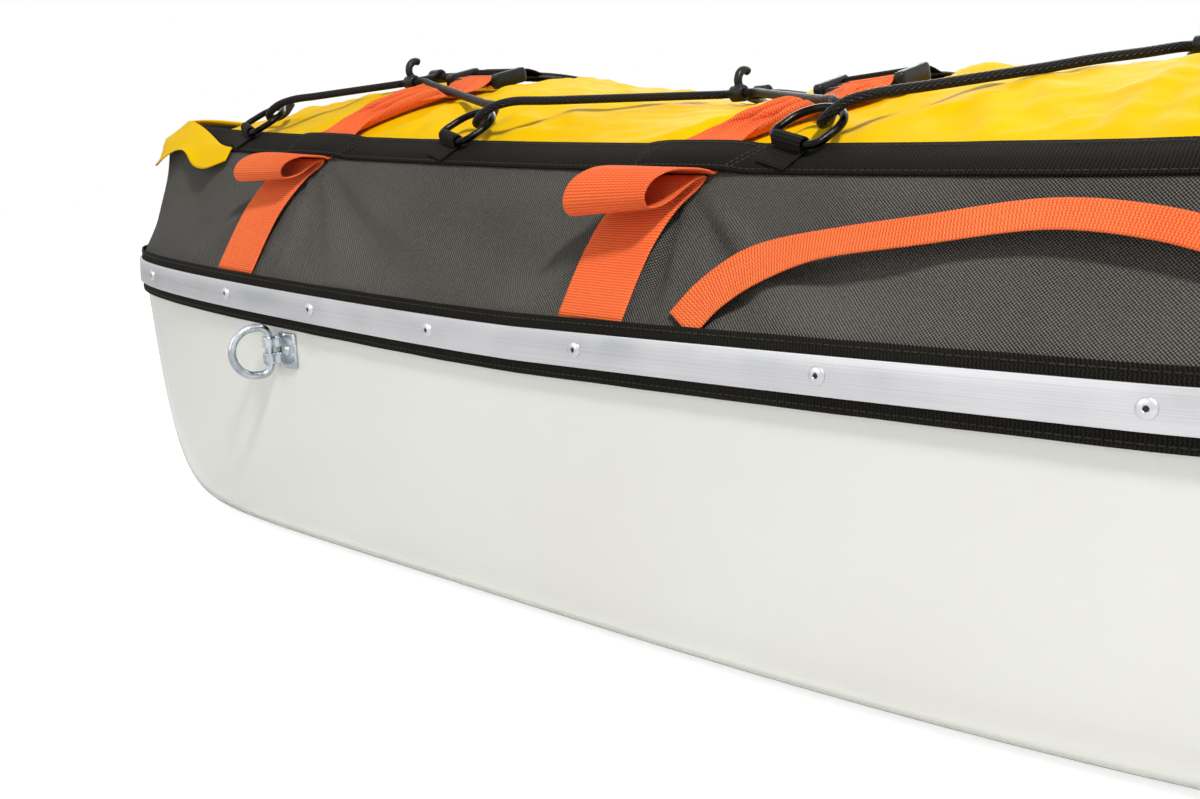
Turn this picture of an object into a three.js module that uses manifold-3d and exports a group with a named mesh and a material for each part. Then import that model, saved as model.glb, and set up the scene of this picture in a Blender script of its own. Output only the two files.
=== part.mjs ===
// Pulk sled: a fibreglass hull with a riveted aluminium rim strip, a fabric side skirt, a crowned
// top cover, compression straps with ladder-lock buckles, shock-cord lacing and towing rings.
// Millimetres. +X points to the bow, +Y to port, +Z up; the origin is under the middle of the sled.

import * as THREE from "three";
import { mergeVertices } from "three/addons/utils/BufferGeometryUtils.js";
import Module from "manifold-3d";

const wasm = await Module();
wasm.setup();

// Gaps that keep touching pieces apart
const seatGap = 0.3;
const runningGap = 0.4;

// Hull
const hullLength = 1428;
const hullHalfWidth = 260;

// A place along the hull as a share of its half length: -1 is the stern and 1 the bow.
function alongHull(share) {
  return (share * hullLength) / 2;
}

// A distance from the middle plane, from a distance inboard of the hull's widest line.
function inboard(distance) {
  return hullHalfWidth - distance;
}

const hullWidestX = alongHull(-0.35);
const hullWall = 3;
const rimHeight = 181;
const rimEdgeAboveStrip = 12;
const sternRise = 30;
const sternRiseFromX = alongHull(-0.168);
const sternRisePower = 1.33;
const bowRise = 40;
const bowRiseFromX = alongHull(0.336);
const bowRisePower = 1.7;
const hullSideInset = 36;
const hullSternInset = 70;
const hullBowInset = 200;
const runnerHeight = 4;
const runnerWidth = 26;
const runnerSpacing = 230;
const runnerSternX = alongHull(-0.784);
const runnerBowX = alongHull(0.35);
const runnerRamp = 40;
const rockerFromX = alongHull(0.42);
const rockerRise = 26;
const sternPower = 5;
const bowPower = 3.6;
const bowRoundness = 2;

// Share of the depth, then of the side, stern and bow insets, at each hull level from the rim down
const hullLevelShares = [
  [0, 0, 0, 0],
  [0.3, 0.1, 0.12, 0.2],
  [0.6, 0.21, 0.3, 0.42],
  [0.82, 0.37, 0.52, 0.62],
  [0.92, 0.53, 0.7, 0.78],
  [0.975, 0.75, 0.86, 0.9],
  [1, 1, 1, 1],
];

// Rim trim
const bandHeight = 36;
const bandThickness = 1.6;
const stripHeight = 20;
const stripThickness = 2;
const stripEndGap = 1.5;
const rivetFlangeRadius = 4.75;
const rivetDomeHeight = 1.5;
const rivetSides = 8;
const rivetShares = [-0.826, -0.633, -0.473, -0.287, -0.102, 0.125, 0.339, 0.553, 0.749, 0.896];

// Rivets near the ends, as shares of the way along the rim from the stern's middle to the bow's
const endRivetShares = [0.055, 0.965];

// Side skirt and the webbing along its top
const skirtThickness = 2;
const skirtLean = 50;
const skirtHollow = 3;
const sternLeanCut = 32;
const sternLeanFromX = alongHull(-0.798);
const skirtRows = 4;
const bowExtraLean = 46;
const bowLeanFromX = alongHull(0.462);
const bowLeanPower = 1.5;
const webbingHeight = 274;
const webbingSternRise = 45;
const webbingRiseFromX = alongHull(0.3375);
const webbingRisePower = 1.7;
const webbingBowDrop = 12;
const webbingWidth = 25;
const webbingThickness = 1.6;
const webbingSlopeDeg = 40;
const webbingSeamShare = 0.5;
const sternCornerX = alongHull(-0.896);
const sternCornerReach = 60;
const sternCornerRoom = 0.8;

// Top cover and its stern flap
const coverThickness = 2;
const coverCrown = 60;
const coverDip = 18;
const coverDipX = alongHull(-0.154);
const coverDipReach = alongHull(0.322);
const coverSternReach = alongHull(0.364);
const coverBowReach = alongHull(0.238);
const coverNarrowInboard = 70;
const coverNarrowBelow = inboard(coverNarrowInboard);
const coverSeamGap = 1;
const coverStations = 26;
const coverAcross = 8;
const coverEndInset = 4;
const flapDrop = 20;
const flapThickness = 2;
const flapForwardX = alongHull(-0.826);
const flapStandOff = 1;

// Compression straps
const strapWidth = 50;
const strapThickness = 1.6;
const strapTailLength = 28;
const strapTuck = 2;
const strapOffCrown = 0.6;
const strapLanes = [-0.5, 0, 0.5];

const middleBuckleInboard = 170;
const endBuckleInboard = 190;

// Where each strap leaves the rim, crosses the webbing and meets its buckle along the hull, and how far
// outboard the buckle's middle is
const straps = [
  {
    name: "rear",
    baseX: alongHull(-0.6275),
    webX: alongHull(-0.5714),
    buckleX: alongHull(-0.5126),
    outboard: inboard(endBuckleInboard),
  },
  {
    name: "middle",
    baseX: alongHull(-0.0938),
    webX: alongHull(-0.0546),
    buckleX: alongHull(0.0112),
    outboard: inboard(middleBuckleInboard),
  },
  {
    name: "front",
    baseX: alongHull(0.5392),
    webX: alongHull(0.5784),
    buckleX: alongHull(0.6106),
    outboard: inboard(endBuckleInboard),
  },
];
const slackLoopDrop = 29;
const slackLoopStandOff = 20;
const tunnelHalfLength = 42;
const tunnelShares = [-1, -0.65, 0, 0.65, 1];
const loopSteps = 6;
const loopFromDeg = 135;
const loopToDeg = -90;

// Distances down the panel from the webbing and off its face, as shares of the slack loop's sizes
const slackRollShares = [
  [0.7, 0],
  [0.21, 0],
  [0.12, 0.09],
  [0.21, 0.19],
  [0.7, 0.3],
  [0.92, 0.5],
  [1, 0.7],
  [0.9, 0.92],
  [0.66, 1],
  [0.38, 0.85],
  [0.16, 0.48],
  [0.04, 0.18],
  [0.01, 0.03],
];

// Places along a strap, as shares of each stretch of it
const strapPanelShares = [1, 0.66, 0.45];
const strapSideShares = [1, 0.66, 0.33, 0];
const webbingCrossShares = [0.12, 0.55, 1];
const rightCrownShares = [0.1, 0.32, 0.54, 0.74, 0.88];
const leftCrownShares = [0.04, 0.17, 0.3, 0.43, 0.56, 0.69, 0.82, 0.93];
const strapStraightFrom = 0.8;
const strapTailShares = [0.4, 0.7, 1];

// Ladder-lock buckle
const buckleWidth = 62;
const buckleLength = 34;
const buckleRail = 5;
const buckleRailHeight = 8;
const buckleRailRound = 3;
const buckleBarRadius = 2.4;
const buckleBarPitch = 12;
const buckleTiltDeg = 15.5;
const buckleEnd = (buckleLength - 2 * buckleBarPitch) / 2;
const barSides = 10;
const buckleSeatLift = 5;
const barLoopRadius = buckleBarRadius + runningGap + strapThickness / 2;

// Side grab handle
const handleRearX = 0;
const handleLength = alongHull(0.4762);
const handleRise = 66;
const handleArchPower = 0.36;
const handleSteps = 20;
const handleWidth = 25;
const handleGripHeight = 12.5;
const handleThickness = 1.6;
const handleGripThickness = 3.6;
const handleStandOff = 9;

// How high the handle's arch is, as shares of its sine, where its webbing starts and ends folding double
const handleFoldShares = [0.4, 0.8];

// Lacing rings, their tabs and the shock cord
const laceRings = [
  { name: "a", x: alongHull(-0.7423) },
  { name: "b", x: alongHull(-0.3613) },
  { name: "c", x: alongHull(0.0364) },
  { name: "d", x: alongHull(0.4174) },
];
const laceRingWidth = 42;
const laceRingDepth = 38;
const laceWireRadius = 2.4;
const laceRingTiltDeg = 35;
const laceRingSlantDeg = 20;
const laceRingCorner = 5;
const laceBarAboveWebbing = -4;
const ringCornerSteps = 3;
const ringBowSteps = 10;
const laceWireSides = 6;
const tabWidth = 24;
const tabThickness = 1.5;
const tabOffWebbing = 0.5;
const tabLength = 18;
const cordRadius = 3.5;
const cordSides = 8;
const cordStepsPerPoint = 1.5;

// The cord's way through a lacing ring, in shares of the ring's depth along its bar and up from it,
// and of the clear distance between cord and wire off its plane
const cordThroughShares = [
  [-0.42, 1.3, -0.75],
  [-0.19, 1, -1.06],
  [-0.04, 0.73, -0.72],
  [0.13, 0.6, 0.1],
  [0.28, 0.68, 0.85],
  [0.37, 0.93, 1.2],
  [0.6, 1.3, 1.05],
];
const cordSpanShares = [0.18, 0.36, 0.54, 0.72, 0.88];
const cordOffCover = 1;
const cordOverStrap = 6;

// Cord hooks at the peaks of the lacing
const rearPeakInboard = 176;
const middlePeakInboard = 230;
const frontPeakInboard = 246;
const peaks = [
  { name: "rear", x: alongHull(-0.6218), outboard: inboard(rearPeakInboard) },
  { name: "middle", x: alongHull(-0.1961), outboard: inboard(middlePeakInboard) },
  { name: "front", x: alongHull(0.2409), outboard: inboard(frontPeakInboard) },
];
const peakSpread = 28;
const peakLift = 3.8;
const peakStraight = 8;
const hookSleeveRadius = 6.4;
const hookLength = 11;
const hookArmRadius = 2.4;
const hookArmHeight = 20;
const hookCurl = 9;
const hookTabThickness = 3.4;

// The arm's line, in shares of its curl and its height
const hookArmShares = [
  [0, 0],
  [0, 0.45],
  [0.3, 0.85],
  [0.8, 1],
  [1.3, 0.86],
];

// Towing rings and their riveted clips on the hull
const towRings = [
  { name: "rear", x: alongHull(-0.5476) },
  { name: "front", x: alongHull(0.6022) },
];
const towRingHeight = 41;
const towRingDepth = 34;
const towWireRadius = 3;
const towDropBelowStrip = 35;
const towSwingOutDeg = 78;
const clipHeight = 26;
const clipLength = 27;
const clipThickness = 1.6;
const clipRivetAt = 14.5;
const clipRivetRadius = 4.2;
const clipRivetShank = 2.1;
const clipRivetDome = 1.9;
const knuckleHeight = 20;
const towRingCorner = 5;
const towLegOff = 6.8;

const ringHalfCount = 40;
const outlineSteps = 240;
const degrees = Math.PI / 180;

// Distance either side of a point for measuring a slope there
const slopeStep = 1;

const colours = {
  hull: [0xe9eae3, 0.22, 0],
  aluminium: [0xc9cacb, 0.32, 1],
  band: [0x1b1b18, 0.85, 0],
  skirt: [0x55544f, 0.9, 0],
  webbing: [0x28251f, 0.85, 0],
  cover: [0xfbdd1c, 0.6, 0],
  orange: [0xf8764a, 0.75, 0],
  plastic: [0x1c1c1b, 0.42, 0],
  steel: [0x151515, 0.35, 0.6],
  zinc: [0xb9c0c4, 0.25, 1],
  cord: [0x1a1a1a, 0.7, 0],
};

// Geometry helpers

const bowward = new THREE.Vector3(1, 0, 0);
const port = new THREE.Vector3(0, 1, 0);
const upward = new THREE.Vector3(0, 0, 1);

function signedVolume(geometry) {
  const at = geometry.getAttribute("position");
  const index = geometry.index.array;
  const [a, b, c] = [new THREE.Vector3(), new THREE.Vector3(), new THREE.Vector3()];
  let volume = 0;
  for (let i = 0; i < index.length; i += 3) {
    a.fromBufferAttribute(at, index[i]);
    b.fromBufferAttribute(at, index[i + 1]);
    c.fromBufferAttribute(at, index[i + 2]);
    volume += a.dot(b.cross(c));
  }
  return volume;
}

// Turns the faces round if they point inwards.
function facingOut(geometry) {
  if (signedVolume(geometry) > 0) return geometry;
  const index = geometry.index.array;
  for (let i = 0; i < index.length; i += 3) {
    const second = index[i + 1];
    index[i + 1] = index[i + 2];
    index[i + 2] = second;
  }
  return geometry;
}

// A solid through sections of equally many points; open ends are closed across their middle line.
function loft(sections, closed = false) {
  const size = sections[0].length;
  const index = [];
  const spans = closed ? sections.length : sections.length - 1;
  for (let i = 0; i < spans; i++) {
    const here = i * size;
    const next = ((i + 1) % sections.length) * size;
    for (let j = 0; j < size; j++) {
      const k = (j + 1) % size;
      index.push(here + j, next + j, next + k, here + j, next + k, here + k);
    }
  }
  if (!closed) {
    const end = (sections.length - 1) * size;
    for (let j = 0; j < size / 2 - 1; j++) {
      const [a, b, c, d] = [j, j + 1, size - 2 - j, size - 1 - j];
      index.push(a, b, c, a, c, d);
      index.push(end + a, end + c, end + b, end + a, end + d, end + c);
    }
  }
  const geometry = new THREE.BufferGeometry().setFromPoints(sections.flat());
  geometry.setIndex(index);
  return facingOut(geometry);
}

function merged(geometry) {
  const bare = geometry.clone();
  bare.deleteAttribute("normal");
  bare.deleteAttribute("uv");
  return mergeVertices(bare);
}

function solidOf(geometry) {
  const whole = merged(geometry);
  const mesh = new wasm.Mesh({
    numProp: 3,
    vertProperties: new Float32Array(whole.getAttribute("position").array),
    triVerts: new Uint32Array(whole.index.array),
  });
  return new wasm.Manifold(mesh);
}

function geometryOf(solid) {
  const mesh = solid.getMesh();
  const geometry = new THREE.BufferGeometry();
  geometry.setAttribute("position", new THREE.BufferAttribute(mesh.vertProperties, 3));
  geometry.setIndex(new THREE.BufferAttribute(mesh.triVerts, 1));
  return geometry;
}

function joined(geometries) {
  return geometryOf(geometries.map(solidOf).reduce((whole, next) => whole.add(next)));
}

function material(name) {
  const [color, roughness, metalness] = colours[name];
  return new THREE.MeshStandardMaterial({ color, roughness, metalness });
}

// Catmull-Rom points between hand-chosen ones, as plain Vector3s.
function smoothed(points, steps) {
  return new THREE.CatmullRomCurve3(points, false, "centripetal").getPoints(steps);
}

// A flat ribbon: centre points, the direction across its width, and half sizes at each point.
function ribbon(centres, acrossOf, halfWidthOf, halfThicknessOf) {
  const sections = centres.map((centre, i) => {
    const before = centres[Math.max(i - 1, 0)];
    const after = centres[Math.min(i + 1, centres.length - 1)];
    const along = after.clone().sub(before).normalize();
    const face = along.clone().cross(acrossOf(i)).normalize();
    const across = face.clone().cross(along).normalize();
    const [w, t] = [halfWidthOf(i), halfThicknessOf(i)];
    return [
      [-w, -t],
      [w, -t],
      [w, t],
      [-w, t],
    ].map(([u, v]) => centre.clone().addScaledVector(across, u).addScaledVector(face, v));
  });
  return loft(sections);
}

// A round wire bent along a closed flat outline in its own XY plane.
function bentWire(outlinePoints, radius, sides) {
  const count = outlinePoints.length;
  const sections = outlinePoints.map((point, i) => {
    const before = outlinePoints[(i + count - 1) % count];
    const after = outlinePoints[(i + 1) % count];
    const along = after.clone().sub(before).normalize();
    return Array.from({ length: sides }, (_, k) => {
      const turn = (2 * Math.PI * k) / sides;
      const [out, up] = [radius * Math.cos(turn), radius * Math.sin(turn)];
      return new THREE.Vector3(point.x + along.y * out, point.y - along.x * out, up);
    });
  });
  return loft(sections, true);
}

// A round cord along its centre points, each section square to the way there.
function tube(centres, radius, sides) {
  let side = new THREE.Vector3(0, 0, 1);
  const sections = centres.map((centre, i) => {
    const before = centres[Math.max(i - 1, 0)];
    const after = centres[Math.min(i + 1, centres.length - 1)];
    const along = after.clone().sub(before).normalize();
    side = side.clone().addScaledVector(along, -side.dot(along)).normalize();
    const up = along.clone().cross(side);
    return Array.from({ length: sides }, (_, k) => {
      const turn = (2 * Math.PI * k) / sides;
      const edge = centre.clone().addScaledVector(side, radius * Math.cos(turn));
      return edge.addScaledVector(up, radius * Math.sin(turn));
    });
  });
  return loft(sections);
}

// A profile in the YZ plane made into a block along X, with its middle at the origin.
function blockAlongX(shape, length, curveSegments) {
  const block = new THREE.ExtrudeGeometry(shape, { depth: length, bevelEnabled: false, curveSegments });
  block.translate(0, 0, -length / 2);
  return block.applyMatrix4(new THREE.Matrix4().makeBasis(port, upward, bowward));
}

function mirrored(geometry) {
  return facingOut(merged(geometry).scale(1, -1, 1));
}

// Hull and rim lines

const rimPlan = {
  sternX: -hullLength / 2,
  bowX: hullLength / 2,
  halfWidth: hullHalfWidth,
};

function riseAt(distance, reach, rise, power) {
  return rise * (Math.max(distance, 0) / reach) ** power;
}

function stripZ(x) {
  const stern = riseAt(sternRiseFromX - x, sternRiseFromX - rimPlan.sternX, sternRise, sternRisePower);
  const bow = riseAt(x - bowRiseFromX, rimPlan.bowX - bowRiseFromX, bowRise, bowRisePower);
  return rimHeight + stern + bow;
}

function keelZ(x) {
  const flatEnd = rimPlan.bowX - hullBowInset;
  return runnerHeight + riseAt(x - rockerFromX, flatEnd - rockerFromX, rockerRise, 2);
}

function halfWidthAt(x, plan = rimPlan) {
  const stern = x < hullWidestX;
  const reach = stern ? hullWidestX - plan.sternX : plan.bowX - hullWidestX;
  const away = Math.min(Math.abs(x - hullWidestX) / reach, 1);
  const [along, across] = stern ? [sternPower, sternPower] : [bowPower, bowRoundness];
  return plan.halfWidth * (1 - away ** along) ** (1 / across);
}

// Evenly spaced points round a plan outline, from the stern's middle along starboard and back.
function outline(plan) {
  const dense = [];
  for (let i = 0; i <= outlineSteps; i++) {
    const turn = (Math.PI * i) / outlineSteps;
    const stern = turn < Math.PI / 2;
    const [along, across] = stern ? [sternPower, sternPower] : [bowPower, bowRoundness];
    const reach = stern ? plan.sternX - hullWidestX : plan.bowX - hullWidestX;
    const x = hullWidestX + reach * Math.abs(Math.cos(turn)) ** (2 / along);
    const y = -plan.halfWidth * Math.abs(Math.sin(turn)) ** (2 / across);
    dense.push(new THREE.Vector2(x, y));
  }
  const starboard = new THREE.Path(dense).getSpacedPoints(ringHalfCount);
  const port = starboard.slice(1, -1).reverse();
  return [...starboard, ...port.map((p) => new THREE.Vector2(p.x, -p.y))];
}

const rimRing = outline(rimPlan);

// The rim's points with their outward direction in plan.
const rimFrames = rimRing.map((point, i) => {
  const before = rimRing[(i + rimRing.length - 1) % rimRing.length];
  const after = rimRing[(i + 1) % rimRing.length];
  const along = after.clone().sub(before).normalize();
  return { point, out: new THREE.Vector2(along.y, -along.x) };
});

function placed(frame, out, z) {
  return new THREE.Vector3(
    frame.point.x + frame.out.x * out,
    frame.point.y + frame.out.y * out,
    z,
  );
}

// The same kind of frame at any x of the starboard side.
function starboardFrame(x) {
  const slope = (halfWidthAt(x + slopeStep) - halfWidthAt(x - slopeStep)) / (2 * slopeStep);
  const out = new THREE.Vector2(-slope, -1).normalize();
  return { point: new THREE.Vector2(x, -halfWidthAt(x)), out };
}

function hullRing(depthShare, sideShare, sternShare, bowShare, wall) {
  const plan = {
    sternX: rimPlan.sternX + hullSternInset * sternShare + wall,
    bowX: rimPlan.bowX - hullBowInset * bowShare - wall,
    halfWidth: rimPlan.halfWidth - hullSideInset * sideShare - wall,
  };
  return outline(plan).map((point) => {
    const floor = keelZ(point.x) + wall;
    const z = stripZ(point.x) * (1 - depthShare) + floor * depthShare;
    return new THREE.Vector3(point.x, point.y, z);
  });
}

function rimEdgeRing(inward) {
  return rimFrames.map((frame) => placed(frame, -inward, stripZ(frame.point.x) + rimEdgeAboveStrip));
}

function runnerGeometry(side) {
  const top = runnerHeight + hullWall / 2;
  const profile = new THREE.Shape([
    new THREE.Vector2(runnerSternX, top),
    new THREE.Vector2(runnerSternX + runnerRamp, 0),
    new THREE.Vector2(runnerBowX - runnerRamp, 0),
    new THREE.Vector2(runnerBowX, top),
  ]);
  const geometry = new THREE.ExtrudeGeometry(profile, { depth: runnerWidth, bevelEnabled: false });
  geometry.rotateX(Math.PI / 2);
  return geometry.translate(0, (side * runnerSpacing + runnerWidth) / 2, 0);
}

function hullGeometry() {
  const outer = hullLevelShares.map((shares) => hullRing(...shares, 0)).reverse();
  const inner = hullLevelShares.map((shares) => hullRing(...shares, hullWall));
  const shell = loft([...outer, rimEdgeRing(0), rimEdgeRing(hullWall), ...inner]);
  return joined([shell, runnerGeometry(-1), runnerGeometry(1)]);
}

// Rim band, strips and their rivets

const bandOut = seatGap;
const stripOut = bandOut + bandThickness + seatGap;
const stripFace = stripOut + stripThickness;

function rimSection(frame, inner, outer, halfHeight) {
  const middle = stripZ(frame.point.x);
  return [
    placed(frame, inner, middle - halfHeight),
    placed(frame, outer, middle - halfHeight),
    placed(frame, outer, middle + halfHeight),
    placed(frame, inner, middle + halfHeight),
  ];
}

function bandGeometry() {
  const outer = bandOut + bandThickness;
  const sections = rimFrames.map((frame) => rimSection(frame, bandOut, outer, bandHeight / 2));
  return loft(sections, true);
}

// The frame at a share of the way along the starboard rim, from the stern's middle to the bow's.
function rimFrameAtShare(share) {
  const place = share * ringHalfCount;
  const i = Math.floor(place);
  const [a, b] = [rimFrames[i], rimFrames[i + 1]];
  return {
    point: a.point.clone().lerp(b.point, place - i),
    out: a.out.clone().lerp(b.out, place - i).normalize(),
  };
}

// A low dome on a stem, turned about Y.
function domeGeometry(radius, height, stemRadius, stemDepth) {
  const profile = [
    new THREE.Vector2(0, -stemDepth),
    new THREE.Vector2(stemRadius, -stemDepth),
    new THREE.Vector2(stemRadius, 0),
    new THREE.Vector2(radius, 0),
    new THREE.Vector2(radius / 2, height),
    new THREE.Vector2(0, height),
  ];
  return new THREE.LatheGeometry(profile, rivetSides);
}

function rivetGeometry(frame) {
  const half = rivetFlangeRadius;
  const geometry = domeGeometry(half, rivetDomeHeight, half / 2, stripThickness / 2);
  const out = new THREE.Vector3(frame.out.x, frame.out.y, 0);
  const turn = new THREE.Quaternion().setFromUnitVectors(new THREE.Vector3(0, 1, 0), out);
  geometry.applyQuaternion(turn);
  const face = placed(frame, stripFace, stripZ(frame.point.x));
  return geometry.translate(face.x, face.y, face.z);
}

function stripGeometry() {
  const sideFrames = rimFrames.slice(0, ringHalfCount + 1);
  const sections = sideFrames.map((frame) => {
    return rimSection(frame, stripOut, stripFace, stripHeight / 2);
  });
  for (const end of [sections[0], sections[sections.length - 1]]) {
    for (const corner of end) corner.y = -stripEndGap / 2;
  }
  const places = [...rivetShares.map(alongHull).map(starboardFrame), ...endRivetShares.map(rimFrameAtShare)];
  return joined([loft(sections), ...places.map(rivetGeometry)]);
}

// Side skirt, top webbing and cover lines

const webbingSlope = webbingSlopeDeg * degrees;
const webbingIn = webbingWidth * Math.cos(webbingSlope);
const webbingUp = webbingWidth * Math.sin(webbingSlope);
const seamIn = webbingIn * webbingSeamShare;
const seamUp = webbingUp * webbingSeamShare;

function webbingZ(x) {
  const reach = webbingRiseFromX - rimPlan.sternX;
  const stern = riseAt(webbingRiseFromX - x, reach, webbingSternRise, webbingRisePower);
  const bow = riseAt(x - webbingRiseFromX, rimPlan.bowX - webbingRiseFromX, webbingBowDrop, 2);
  return webbingHeight + stern - bow;
}

function leanAt(x) {
  const bow = riseAt(x - bowLeanFromX, rimPlan.bowX - bowLeanFromX, bowExtraLean, bowLeanPower);
  const stern = THREE.MathUtils.smoothstep(-x, -sternLeanFromX, -rimPlan.sternX);
  return skirtLean + bow - sternLeanCut * stern;
}

function skirtFootZ(x) {
  return stripZ(x) + rimEdgeAboveStrip + seatGap;
}

// Inset and height round the skirt's section: up its outer face to the seam under the webbing, back down.
function skirtProfile(x) {
  const foot = skirtFootZ(x);
  const top = webbingZ(x);
  const lean = leanAt(x);
  const panel = Array.from({ length: skirtRows }, (_, i) => {
    const share = i / (skirtRows - 1);
    const hollow = skirtHollow * 4 * share * (1 - share);
    return [lean * share + hollow, foot + (top - foot) * share];
  });
  const back = panel.map(([inset, z]) => [inset + skirtThickness, z]).reverse();
  const seam = [lean + seamIn - seatGap, top + seamUp - seatGap];
  const seamBack = [seam[0], seam[1] - skirtThickness / Math.cos(webbingSlope)];
  return [...panel, seam, seamBack, ...back];
}

function skirtGeometry() {
  const sections = rimFrames.map((frame) => {
    return skirtProfile(frame.point.x).map(([inset, z]) => placed(frame, -inset, z));
  });
  return loft(sections, true);
}

// Places where the webbing stands off the skirt, with how far: over the straps and at the stern corners.
const tunnels = [
  { x: sternCornerX, reach: sternCornerReach, room: sternCornerRoom },
  ...straps.map(({ webX }) => {
    return { x: webX, reach: tunnelHalfLength, room: strapThickness + 3 * seatGap };
  }),
];

// How far the webbing stands off its seat.
function tunnelLift(x) {
  const lifts = tunnels.map((tunnel) => {
    const share = Math.min(Math.abs(x - tunnel.x) / tunnel.reach, 1);
    return tunnel.room * (1 - share ** 4);
  });
  return Math.max(...lifts);
}

// Inset and height at a share of the webbing's width, lifted off square to its slope.
function webbingPlace(x, widthShare, lift) {
  const inset = leanAt(x) + webbingIn * widthShare - lift * Math.sin(webbingSlope);
  const z = webbingZ(x) + webbingUp * widthShare + lift * Math.cos(webbingSlope);
  return [inset, z];
}

function webbingSection(frame) {
  const x = frame.point.x;
  const low = seatGap + tunnelLift(x);
  const high = low + webbingThickness;
  const corners = [
    webbingPlace(x, 0, low),
    webbingPlace(x, 1, low),
    webbingPlace(x, 1, high),
    webbingPlace(x, 0, high),
  ];
  return corners.map(([inset, z]) => placed(frame, -inset, z));
}

// The rim's frames from stern to bow, with more of them where the webbing rises over a strap.
function denseSideFrames() {
  const extra = straps.flatMap(({ webX }) => {
    return tunnelShares.map((share) => webX + tunnelHalfLength * share);
  });
  const frames = [...rimFrames.slice(0, ringHalfCount + 1), ...extra.map(starboardFrame)];
  return frames.sort((a, b) => a.point.x - b.point.x);
}

function webbingGeometry() {
  const starboard = denseSideFrames();
  const port = starboard.slice(1, -1).reverse().map(mirroredFrame);
  return loft([...starboard, ...port].map(webbingSection), true);
}

function mirroredFrame({ point, out }) {
  return {
    point: new THREE.Vector2(point.x, -point.y),
    out: new THREE.Vector2(out.x, -out.y),
  };
}

// The cover's plan edge lies under the webbing, just inboard of the seam.
const coverEdge = rimFrames.slice(0, ringHalfCount + 1).map((frame) => {
  const inset = leanAt(frame.point.x) + seamIn + coverSeamGap;
  return placed(frame, -inset, webbingZ(frame.point.x) + seamUp);
});

// A point of the cover's starboard edge at any x.
function coverEdgeAt(x) {
  const i = THREE.MathUtils.clamp(coverEdge.findIndex((edge) => edge.x > x), 1, ringHalfCount);
  const [a, b] = [coverEdge[i - 1], coverEdge[i]];
  return a.clone().lerp(b, (x - a.x) / (b.x - a.x));
}

function coverHalfWidth(x) {
  return -coverEdgeAt(x).y;
}

function crownZ(x, y) {
  const half = Math.max(coverHalfWidth(x), 1);
  const across = Math.min(Math.abs(y) / half, 1);
  const fromDip = Math.min(Math.abs(x - coverDipX) / coverDipReach, 1);
  const dip = (coverDip * (1 + Math.cos(Math.PI * fromDip))) / 2;
  const fromStern = Math.min((x - coverEdge[0].x) / coverSternReach, 1);
  const fromBow = Math.min((coverEdge[ringHalfCount].x - x) / coverBowReach, 1);
  const ends = (1 - (1 - fromStern) ** 2) * (1 - (1 - fromBow) ** 2);
  const rise = (coverCrown - dip) * ends * Math.min(half / coverNarrowBelow, 1);
  return coverEdgeAt(x).z + rise * (1 - across * across);
}

function coverSection(x) {
  const half = coverHalfWidth(x);
  const top = Array.from({ length: coverAcross + 1 }, (_, i) => {
    const y = half * Math.sin((Math.PI / 2) * ((2 * i) / coverAcross - 1));
    return new THREE.Vector3(x, y, crownZ(x, y));
  });
  const under = top.map((p) => new THREE.Vector3(p.x, p.y, p.z - coverThickness));
  return [...top, ...under.reverse()];
}

function coverGeometry() {
  const first = coverEdge[0].x + coverEndInset;
  const last = coverEdge[ringHalfCount].x - coverEndInset;
  const sections = Array.from({ length: coverStations + 1 }, (_, i) => {
    const share = (1 - Math.cos((Math.PI * i) / coverStations)) / 2;
    return coverSection(first + (last - first) * share);
  });
  return loft(sections);
}

// The cover's end folds down over the webbing at the stern, from one side round to the other.
function flapGeometry() {
  const starboard = rimFrames.slice(0, ringHalfCount).filter(({ point }) => point.x < flapForwardX);
  const frames = [...starboard.slice(1).map(mirroredFrame).reverse(), ...starboard];
  const inner = seatGap + sternCornerRoom + webbingThickness + flapStandOff;
  const outer = inner + flapThickness;
  const sections = frames.map((frame) => {
    const x = frame.point.x;
    const face = [webbingPlace(x, 1, outer), webbingPlace(x, 0, outer), panelPlace(x, flapDrop, outer)];
    const back = [panelPlace(x, flapDrop, inner), webbingPlace(x, 0, inner), webbingPlace(x, 1, inner)];
    return [...face, ...back].map(([inset, z]) => placed(frame, -inset, z));
  });
  return loft(sections);
}

// Straps

// Unit direction up the skirt panel and square off it, as inset and height.
function panelDirections(x) {
  const rise = webbingZ(x) - skirtFootZ(x);
  const length = Math.hypot(leanAt(x), rise);
  const up = [leanAt(x) / length, rise / length];
  return { up, off: [-up[1], up[0]], length };
}

// A place on the panel: distance down from the webbing's lower edge and lift off the face.
function panelPlace(x, down, lift) {
  const { up, off } = panelDirections(x);
  return [
    leanAt(x) - up[0] * down + off[0] * lift,
    webbingZ(x) - up[1] * down + off[1] * lift,
  ];
}

function onStarboard(x, [inset, z]) {
  return placed(starboardFrame(x), -inset, z);
}

function onCrown(x, y, lift) {
  const slope = (crownZ(x, y + slopeStep) - crownZ(x, y - slopeStep)) / (2 * slopeStep);
  const off = new THREE.Vector3(0, -slope, 1).normalize();
  return new THREE.Vector3(x, y, crownZ(x, y)).addScaledVector(off, lift);
}

const strapLift = seatGap + strapThickness / 2;

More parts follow.
